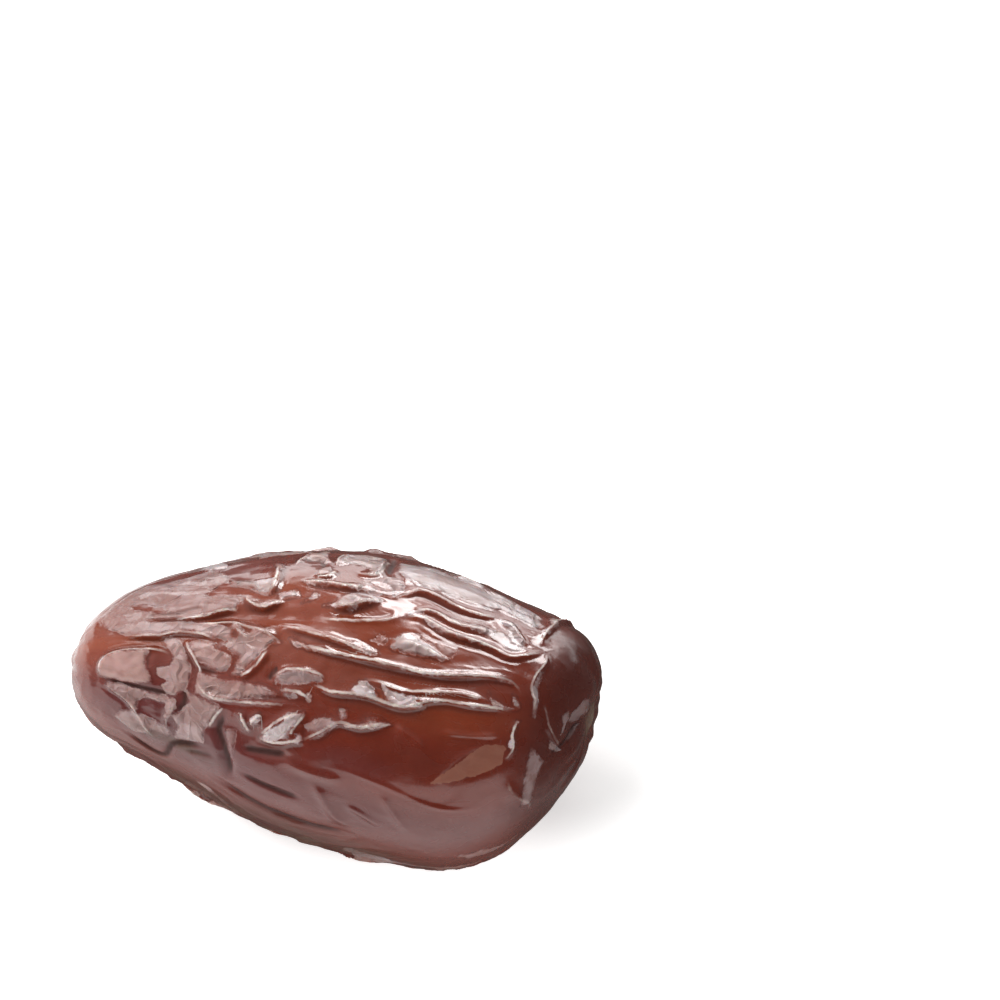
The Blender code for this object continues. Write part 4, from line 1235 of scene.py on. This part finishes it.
    def _normal(self, graph: Graph, place: bpy.types.NodeSocket,
                edge: bpy.types.NodeSocket) -> bpy.types.NodeSocket:
        """Add the plates' thickness and crumple, and creases and pores too fine for the mesh.

        Args:
            graph: the material's graph.
            place: coordinates in millimetres.
            edge: distance inside a plate.

        Returns:
            The normal's socket.
        """
        group = bpy.data.node_groups.get("fine_creases") or crease_group()
        depth = graph.ramp(graph.attribute(Mask.SLACK), 0.12, 1.0, 0.0, self.crease_depth)
        creases = graph.node("ShaderNodeGroup", {"node_tree": group}, Vector=place, Scale=0.9, Stretch=0.4,
                             Depth=depth)
        pores = graph.node("ShaderNodeTexNoise", Vector=place, Scale=5.5, Detail=2.0)
        sags = graph.node("ShaderNodeTexNoise", Vector=place, Scale=0.5, Detail=1.0, Roughness=0.4)
        on_plate = graph.product(graph.ramp(edge, -0.05, 0.25),
                                 graph.ramp(graph.attribute(Mask.PALE), 0.1, 0.6))
        loose = graph.ramp(graph.attribute(Mask.SLACK), 0.06, 0.22, 0.05, 1.0)
        crumpled = graph.product(self._crumple(graph, place), self.crumple, loose, on_plate)
        step = graph.ramp(edge, -0.06, 0.08, 0.0, self.plate_step)
        rim = graph.band(edge, (0.0, 0.1), (0.12, 0.34), self.plate_rim)
        ledge = self._ledge_offset(graph, place)
        drop = graph.product(graph.ramp(ledge, -0.06, 0.16), graph.attribute(Mask.LINE), self.ledge_drop)
        dimples = graph.product(pores.outputs[0], self.pore_depth)
        height = graph.math("ADD", creases.outputs["Height"], dimples)
        height = graph.math("ADD", height, graph.product(sags.outputs[0], self.sag_depth))
        height = graph.math("SUBTRACT", height, drop)
        height = graph.math("ADD", height, graph.math("ADD", step, graph.math("ADD", rim, crumpled)))
        bump = graph.node("ShaderNodeBump", Strength=1.0, Distance=MM, Height=height)
        return bump.outputs[0]


@dataclass
class DateBody:
    """The whole fruit: its form, its folds, its finer creases and its skin."""

    form: BodyForm = BodyForm()
    skin: DateSkin = DateSkin()
    rounds: int = 460
    rings: int = 215
    crowding: float = 0.33
    resting_level: float = -1.9
    relief_drop: float = 0.32
    centre_shift: Span = (-0.41, 0.4)
    lip_height: float = 0.09
    upper_lip_height: float = 0.04
    plate_height: float = 0.1
    hidden_wrinkles: float = 0.32
    less_wrinkled_in_front: float = 0.28
    crease_depth: float = 0.10
    crease_seed: float = 7.0
    stem_hollow: Ring = Ring(0.0, 1.9, -0.95)
    stem_rim: Ring = Ring(3.0, 1.0, 0.12)
    stem_plug: Ring = Ring(0.0, 0.75, 0.4, 4)
    stem_pucker: Ring = Ring(3.2, 2.2, 0.11)
    stem_scar: Ring = Ring(0.0, 1.05, 1.0, 4)
    tip_point: Ring = Ring(0.0, 0.7, 0.12)
    tip_dip: Ring = Ring(1.6, 0.9, -0.25)
    tip_pucker: Ring = Ring(2.6, 1.4, 0.09)

    def build(self) -> bpy.types.Object:
        """Make the finished piece.

        Returns:
            The piece, a plain mesh in its place.
        """
        turn, angle, faces = self._grid()
        points, masks = self._shape(turn, angle)
        mesh = bpy.data.meshes.new("date_body_drawn")
        mesh.from_pydata([tuple(point) for point in points * MM], [], faces)
        for mask, values in masks.items():
            layer = mesh.attributes.new(mask.value, "FLOAT", "POINT")
            layer.data.foreach_set("value", values.astype(np.float32))
        mesh.shade_smooth()
        return self._creased(link_object("date_body_drawn", mesh))

    def _grid(self) -> tuple[np.ndarray, np.ndarray, list[tuple[int, ...]]]:
        """Lay out rings from the tip to the stem end, closed by one point at each end.

        Returns:
            Each point's turn and angle, and the faces.
        """
        turns = np.linspace(0, math.pi, self.rings + 1)[1:-1]
        even = np.arange(self.rounds) * (2 * math.pi / self.rounds)
        angles = even - self.crowding * np.sin(even - math.radians(20))
        turn = np.concatenate([[0.0], np.repeat(turns, self.rounds), [math.pi]])
        angle = np.concatenate([[0.0], np.tile(angles, len(turns)), [0.0]])
        last = len(turn) - 1
        faces: list[tuple[int, ...]] = []
        for i in range(self.rounds):
            after = (i + 1) % self.rounds
            faces.append((0, 1 + i, 1 + after))
            for ring in range(len(turns) - 1):
                low = 1 + ring * self.rounds
                high = low + self.rounds
                faces.append((low + i, high + i, high + after, low + after))
            top = 1 + (len(turns) - 1) * self.rounds
            faces.append((top + i, last, top + after))
        return turn, angle, faces

    def _shape(self, turn: np.ndarray, angle: np.ndarray) -> tuple[np.ndarray, dict[Mask, np.ndarray]]:
        """Place every point and read the masks there.

        Args:
            turn: 0 at the tip and pi at the stem end.
            angle: round the long axis, in radians.

        Returns:
            The points in millimetres, and the masks.
        """
        plain = self.form.point(turn, angle)
        x = plain[:, 0]
        degrees = np.degrees((angle + math.pi) % (2 * math.pi) - math.pi)
        main = FoldField(self.form, NAMED_FOLDS + scattered_folds(HIDDEN_FOLDS), self.lip_height)
        main.spread(x, degrees)
        upper = FoldField(self.form, scattered_folds(UPPER_FOLDS), self.upper_lip_height).spread(x, degrees)
        small = FoldField(self.form, scattered_folds(SMALL_FOLDS)).spread(x, degrees)
        slack = 1 - np.clip(patch_strength(TAUT_AREAS, x, degrees), 0, 0.9)
        seen = eased((SEEN_HALF - np.abs(degrees - SEEN_MIDDLE)) / SEEN_FADE)
        left_share = eased((-8 - x) / 3)
        wrinkling = self.hidden_wrinkles - self.less_wrinkled_in_front * seen
        wrinkles = wrinkling * slack * (self._wrinkles(plain) - 0.3)
        swell = patch_strength(SWELLS, x, degrees)
        ends = eased(np.minimum(turn, math.pi - turn) / 0.32)
        small_share = slack * (1 - 0.9 * seen)
        lift = main.lift + 0.5 * upper.lift * left_share + small.lift * small_share + swell + wrinkles
        lift = ends * (lift - self.relief_drop)
        lift += self._ends(degrees, turn)
        settled = eased((plain[:, 2] - self.resting_level + 0.1) / 1.3)
        plates = PlateField(self.form, TIP_PLATES + MIDDLE_PLATES + STEM_PLATES
                            + scattered_plates(31, 90, (104, 310))).spread(x, degrees)
        lift += ends * self.plate_height * plates.pale * eased((plates.edge + 0.15) / 0.4)
        placed = plain + self.form.normals(turn, angle) * (lift * settled)[:, None]
        placed[:, 2] = np.maximum(placed[:, 2], self.resting_level)
        placed -= (self.centre_shift[0], self.centre_shift[1], self.resting_level)
        return placed, self._masks(x, degrees, turn, main, plates, slack * (1 - 0.75 * seen))

    def _masks(self, x: np.ndarray, degrees: np.ndarray, turn: np.ndarray, main: FoldField,
               plates: PlateField, slack: np.ndarray) -> dict[Mask, np.ndarray]:
        """Read the masks that the skin's material uses.

        Args:
            x: places along the body, in millimetres.
            degrees: places round the body.
            turn: 0 at the tip and pi at the stem end.
            main: the named and the hidden folds.
            plates: the lifted plates.
            slack: 1 where the skin is loose.

        Returns:
            One value for each point and mask.
        """
        corners = self.form.unrolled(*np.array(FACET_OUTLINE, float).T)
        facet = inside_distance(self.form.unrolled(x, degrees), corners)
        areas = {Mask.WARM: WARM_AREAS, Mask.MAUVE_AND_SHEEN: MAUVE_AND_SHEEN_AREAS, Mask.DARK: DARK_AND_SHADE_AREAS,
                 Mask.FLESH_AND_SHADE: FLESH_AND_SHADE_AREAS}
        return {
            Mask.LEDGE: main.ledge,
            Mask.LINE: main.line,
            Mask.HOLLOW: main.hollow,
            Mask.SLACK: slack,
            Mask.EDGE: plates.edge,
            Mask.PALE: plates.pale,
            Mask.COOL: plates.cool,
            **{mask: np.clip(patch_strength(area, x, degrees), 0, 1) for mask, area in areas.items()},
            Mask.FACET: np.clip(facet, -0.5, 0.5),
            Mask.SCAR: self.stem_scar.at((math.pi - turn) * END_RADIUS),
        }

    def _wrinkles(self, points: np.ndarray) -> np.ndarray:
        """Return low wrinkles drawn out along the body, 0 in hollows and 1 on crests."""
        lifts = np.zeros(len(points))
        for i, (x, y, z) in enumerate(points.tolist()):
            bend = noise.noise(Vector((x / 6, y / 5, z / 5 + 40)))
            sway = noise.noise(Vector((x / 4.5 + 17, y / 4, z / 4)))
            place = Vector((x / 6.5 + sway, y / 2.3 + 1.1 * bend, z / 2.3 - 1.1 * bend))
            lifts[i] = max(0.0, 1 - 2.1 * abs(noise.noise(place))) ** 2
        return lifts

    def _ends(self, degrees: np.ndarray, turn: np.ndarray) -> np.ndarray:
        """Shape the stem scar in its puckered hollow, and the small mark at the tip.

        Args:
            degrees: places round the body.
            turn: 0 at the tip and pi at the stem end.

        Returns:
            The lift at each place, in millimetres.
        """
        from_stem = (math.pi - turn) * END_RADIUS
        from_tip = turn * END_RADIUS
        rays = np.cos(np.radians(degrees) * 9 + 1.3 * np.sin(np.radians(degrees) * 2)) * 0.5
        rays = rays + 0.5 * np.cos(np.radians(degrees) * 14 + 2)
        stem = self.stem_hollow.at(from_stem) + self.stem_rim.at(from_stem) + self.stem_plug.at(from_stem)
        tip = self.tip_point.at(from_tip) + self.tip_dip.at(from_tip)
        return stem + self.stem_pucker.at(from_stem) * rays + tip + self.tip_pucker.at(from_tip) * rays

    def _creased(self, drawn: bpy.types.Object) -> bpy.types.Object:
        """Lift fine creases along the skin with the Geometry Nodes tree.

        Args:
            drawn: the body without its fine creases. It is removed.

        Returns:
            The plain piece.
        """
        tree = crease_tree()
        modifier = drawn.modifiers.new("fine_creases", "NODES")
        modifier.node_group = tree
        values = {"Depth": self.crease_depth * MM, "Seed": self.crease_seed,
                  "Material": self.skin.material()}
        for item in tree.interface.items_tree:
            if item.item_type == "SOCKET" and item.in_out == "INPUT" and item.name in values:
                modifier[item.identifier] = values[item.name]
        graph = bpy.context.evaluated_depsgraph_get()
        mesh = bpy.data.meshes.new_from_object(drawn.evaluated_get(graph), depsgraph=graph)
        mesh.name = PIECE_NAME
        bpy.data.objects.remove(drawn)
        return link_object(PIECE_NAME, mesh)


def crease_tree() -> bpy.types.NodeTree:
    """Build the Geometry Nodes tree that lifts fine creases where the skin is slack.

    Returns:
        The tree: Geometry, Depth, Scale, Stretch, Seed and Material in, Geometry out.
    """
    sockets = {
        "Geometry": ("NodeSocketGeometry", None),
        "Depth": ("NodeSocketFloat", 0.0001),
        "Scale": ("NodeSocketFloat", 620.0),
        "Stretch": ("NodeSocketFloat", 0.42),
        "Seed": ("NodeSocketFloat", 1.0),
        "Material": ("NodeSocketMaterial", None),
    }
    graph, given, result = open_group("lift_creases", sockets, {"Geometry": "NodeSocketGeometry"},
                                      "GeometryNodeTree")
    place = graph.node("GeometryNodeInputPosition").outputs[0]
    height = graph.node("ShaderNodeSeparateXYZ", Vector=place).outputs[2]
    stretched = graph.drawn_out(place, given.outputs["Stretch"])
    cloud = graph.node("ShaderNodeTexNoise", {"noise_dimensions": "4D"}, Vector=stretched,
                       W=given.outputs["Seed"], Scale=given.outputs["Scale"], Detail=2.0, Roughness=0.5,
                       Distortion=0.7)
    crease = graph.ridges(cloud.outputs[0], 6.0)
    slack = graph.node("GeometryNodeInputNamedAttribute", {"data_type": "FLOAT"}, Name=Mask.SLACK.value)
    off_foot = graph.ramp(height, 0.0004, 0.002)
    where = graph.product(slack.outputs[0], off_foot)
    amount = graph.product(graph.product(crease, given.outputs["Depth"]), where)
    normal = graph.node("GeometryNodeInputNormal").outputs[0]
    offset = graph.node("ShaderNodeVectorMath", {"operation": "SCALE"}, i0=normal, Scale=amount)
    moved = graph.node("GeometryNodeSetPosition", Geometry=given.outputs["Geometry"],
                       Offset=offset.outputs[0])
    realized = graph.node("GeometryNodeRealizeInstances", Geometry=moved.outputs[0])
    dressed = graph.node("GeometryNodeSetMaterial", Geometry=realized.outputs[0],
                         Material=given.outputs["Material"])
    graph.feed(result.inputs[0], dressed.outputs[0])
    return graph.tree


@dataclass
class Floor:
    """The plain pale floor."""

    half_side: float = 6.0
    colour: Colour = (0.86, 0.85, 0.84, 1.0)
    glow: float = 0.42
    fill: float = 0.45
    shadow_at: tuple[float, float, float] = (0.020, 0.009, 0.0)
    shaded_side: float = 150.0
    shade: Colour = (0.10, 0.085, 0.08, 1.0)

    def build(self) -> bpy.types.Object:
        """Make the floor.

        Returns:
            The floor's object.
        """
        side = self.half_side
        mesh = bpy.data.meshes.new("pale_floor")
        corners = [(-side, -side, 0), (side, -side, 0), (side, side, 0), (-side, side, 0)]
        mesh.from_pydata(corners, [], [(0, 1, 2, 3)])
        material = bpy.data.materials.new("pale_floor_finish")
        material.use_nodes = True
        shader = material.node_tree.nodes["Principled BSDF"]
        shader.inputs["Base Color"].default_value = self.colour
        shader.inputs["Roughness"].default_value = 0.7
        shader.inputs["Specular IOR Level"].default_value = 0.2
        shader.inputs["Emission Color"].default_value = (1.0, 1.0, 1.0, 1.0)
        shader.inputs["Emission Strength"].default_value = self.glow
        self._dim_reflection(material.node_tree, shader)
        mesh.materials.append(material)
        return link_object("pale_floor", mesh)

    def _dim_reflection(self, tree: bpy.types.NodeTree, shader: bpy.types.Node) -> None:
        """Darken the floor in reflections, and brighten it to the camera outside the fruit's own shadow.

        Args:
            tree: the floor's node tree.
            shader: the floor's own shader.
        """
        graph = Graph(tree)
        place = graph.node("ShaderNodeTexCoord").outputs["Object"]
        along = graph.node("ShaderNodeVectorMath", {"operation": "DOT_PRODUCT"}, i0=place,
                           i1=direction(self.shaded_side, 0.0))
        side = graph.ramp(along.outputs["Value"], -0.004, 0.022)
        squeezed = graph.node("ShaderNodeVectorMath", {"operation": "MULTIPLY"}, i0=place,
                              i1=(0.6, 1.0, 0.0))
        far = graph.node("ShaderNodeVectorMath", {"operation": "LENGTH"}, i0=squeezed.outputs[0])
        under = graph.ramp(far.outputs["Value"], 0.013, 0.026, 1.0, 0.0)
        seen_by = graph.node("ShaderNodeLightPath").outputs
        share = graph.product(graph.math("MAXIMUM", side, under), seen_by["Is Glossy Ray"])
        # Painted contact shadow: the floor's glow falls to a tenth under and just round the fruit.
        glow = graph.ramp(far.outputs["Value"], 0.006, 0.0105, 0.1 * self.glow, self.glow)
        from_shadow = graph.node("ShaderNodeVectorMath", {"operation": "DISTANCE"}, i0=place,
                                 i1=self.shadow_at)
        fill = graph.ramp(from_shadow.outputs["Value"], 0.006, 0.015, 0.0, self.fill)
        fill = graph.product(fill, seen_by["Is Camera Ray"])
        graph.feed(shader.inputs["Emission Strength"], graph.math("ADD", glow, fill))
        dark = graph.node("ShaderNodeEmission", Color=self.shade)
        mixed = graph.node("ShaderNodeMixShader", i0=share, i1=shader.outputs[0], i2=dark.outputs[0])
        graph.feed(tree.nodes["Material Output"].inputs["Surface"], mixed.outputs[0])


class LightUse(Enum):
    """What a softbox is for: a crisp highlight, or light that falls on the skin without being mirrored."""

    HIGHLIGHT = "highlight"
    FILL = "fill"


@dataclass(frozen=True)
class Softbox:
    """A rectangular studio light: its place, its size in metres, its power and its use."""

    name: str
    azimuth: float
    elevation: float
    distance: float
    width: float
    height: float
    power: float
    use: LightUse = LightUse.HIGHLIGHT

    def build(self) -> bpy.types.Object:
        """Make the light, facing the fruit.

        Returns:
            The light's object.
        """
        light = bpy.data.lights.new(self.name, "AREA")
        light.shape = "RECTANGLE"
        light.size = self.width
        light.size_y = self.height
        light.energy = self.power
        holder = link_object(self.name, light)
        away = direction(self.azimuth, self.elevation)
        holder.location = away * self.distance
        holder.rotation_euler = (-away).to_track_quat("-Z", "Y").to_euler()
        holder.visible_camera = False
        holder.visible_diffuse = self.use is LightUse.FILL
        holder.visible_glossy = self.use is LightUse.HIGHLIGHT
        return holder


@dataclass(frozen=True)
class Glow:
    """A soft round brightness in the room round the fruit."""

    azimuth: float
    elevation: float
    inner: float
    outer: float
    strength: float


def direction(azimuth: float, elevation: float) -> Vector:
    """Return the unit direction from the fruit: azimuth 0 is the front (-Y), 90 the right (+X)."""
    turn = math.radians(azimuth)
    rise = math.radians(elevation)
    return Vector((math.sin(turn) * math.cos(rise), -math.cos(turn) * math.cos(rise), math.sin(rise)))


@dataclass(frozen=True)
class Studio:
    """The lights, the room's soft brightness and the camera."""

    softboxes: tuple[Softbox, ...] = (
        Softbox("back_window", 178, 36, 1.3, 0.82, 0.38, 13.5),
        Softbox("back_strip", 180, 11, 1.3, 2.2, 0.42, 8.5),
        Softbox("left_window", -115, 42, 1.2, 0.5, 0.4, 2.0),
        Softbox("left_key", -105, 38, 1.2, 0.5, 0.5, 7.4, LightUse.FILL),
    )
    shine: tuple[Glow, ...] = (
        Glow(-90, 35, 10, 60, 0.5),
        Glow(180, 40, 20, 70, 0.12),
    )
    wash: tuple[Glow, ...] = (
        Glow(-120, 50, 20, 90, 0.6),
    )
    dimmest_shine: float = 0.05
    dimmest_wash: float = 0.38
    azimuth: float = 16.0
    elevation: float = 50.0
    distance: float = 480.0
    lens: float = 200.0
    target: tuple[float, float, float] = (16.03, -0.4, 45.84)

    def build(self) -> None:
        """Set the lights, the room and the camera."""
        for softbox in self.softboxes:
            softbox.build()
        self._room()
        self._camera()
        bpy.context.scene.view_settings.view_transform = "Standard"

    def _room(self) -> None:
        """Give the room one soft brightness for reflections and another for the light that falls."""
        world = bpy.data.worlds.new("studio")
        bpy.context.scene.world = world
        world.use_nodes = True
        graph = Graph(world.node_tree)
        looking = graph.node("ShaderNodeTexCoord").outputs["Generated"]
        shine = self._brightness(graph, looking, self.shine, self.dimmest_shine)
        wash = self._brightness(graph, looking, self.wash, self.dimmest_wash)
        reflected = graph.node("ShaderNodeLightPath").outputs["Is Glossy Ray"]
        background = world.node_tree.nodes["Background"]
        background.inputs["Color"].default_value = (1.0, 1.0, 1.0, 1.0)
        difference = graph.math("MULTIPLY", reflected, graph.math("SUBTRACT", shine, wash))
        graph.feed(background.inputs["Strength"], graph.math("ADD", wash, difference))

    def _brightness(self, graph: Graph, looking: bpy.types.NodeSocket, glows: tuple[Glow, ...],
                    dimmest: float) -> Value:
        """Add up glows over an even dim level.

        Args:
            graph: the room's graph.
            looking: the direction looked in.
            glows: the soft round brightnesses.
            dimmest: the even level.

        Returns:
            The brightness's socket.
        """
        total: Value = dimmest
        for glow in glows:
            towards = graph.node("ShaderNodeVectorMath", {"operation": "DOT_PRODUCT"}, i0=looking,
                                 i1=direction(glow.azimuth, glow.elevation))
            share = graph.ramp(towards.outputs["Value"], math.cos(math.radians(glow.outer)),
                               math.cos(math.radians(glow.inner)), 0.0, glow.strength)
            total = graph.math("ADD", total, share)
        return total

    def _camera(self) -> None:
        """Stand the camera at the photograph's viewing angle."""
        data = bpy.data.cameras.new("photo_camera")
        data.lens = self.lens
        data.sensor_width = 36.0
        camera = link_object("photo_camera", data)
        away = direction(self.azimuth, self.elevation)
        camera.location = (Vector(self.target) + away * self.distance) * MM
        camera.rotation_euler = (-away).to_track_quat("-Z", "Y").to_euler()
        bpy.context.scene.camera = camera


def main() -> None:
    """Build the fruit, the floor and the studio, and tie the fruit to its body."""
    date = DateBody().build()
    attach(date, "root")
    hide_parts(NODE_NAME)
    LOG.info("%s: %d faces", date.name, len(date.data.polygons))
    floor = Floor().build()
    LOG.info("%s: %d face", floor.name, len(floor.data.polygons))
    studio = Studio()
    studio.build()
    LOG.info("studio: %d softboxes", len(studio.softboxes))
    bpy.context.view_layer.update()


if __name__ == "__main__":
    main()
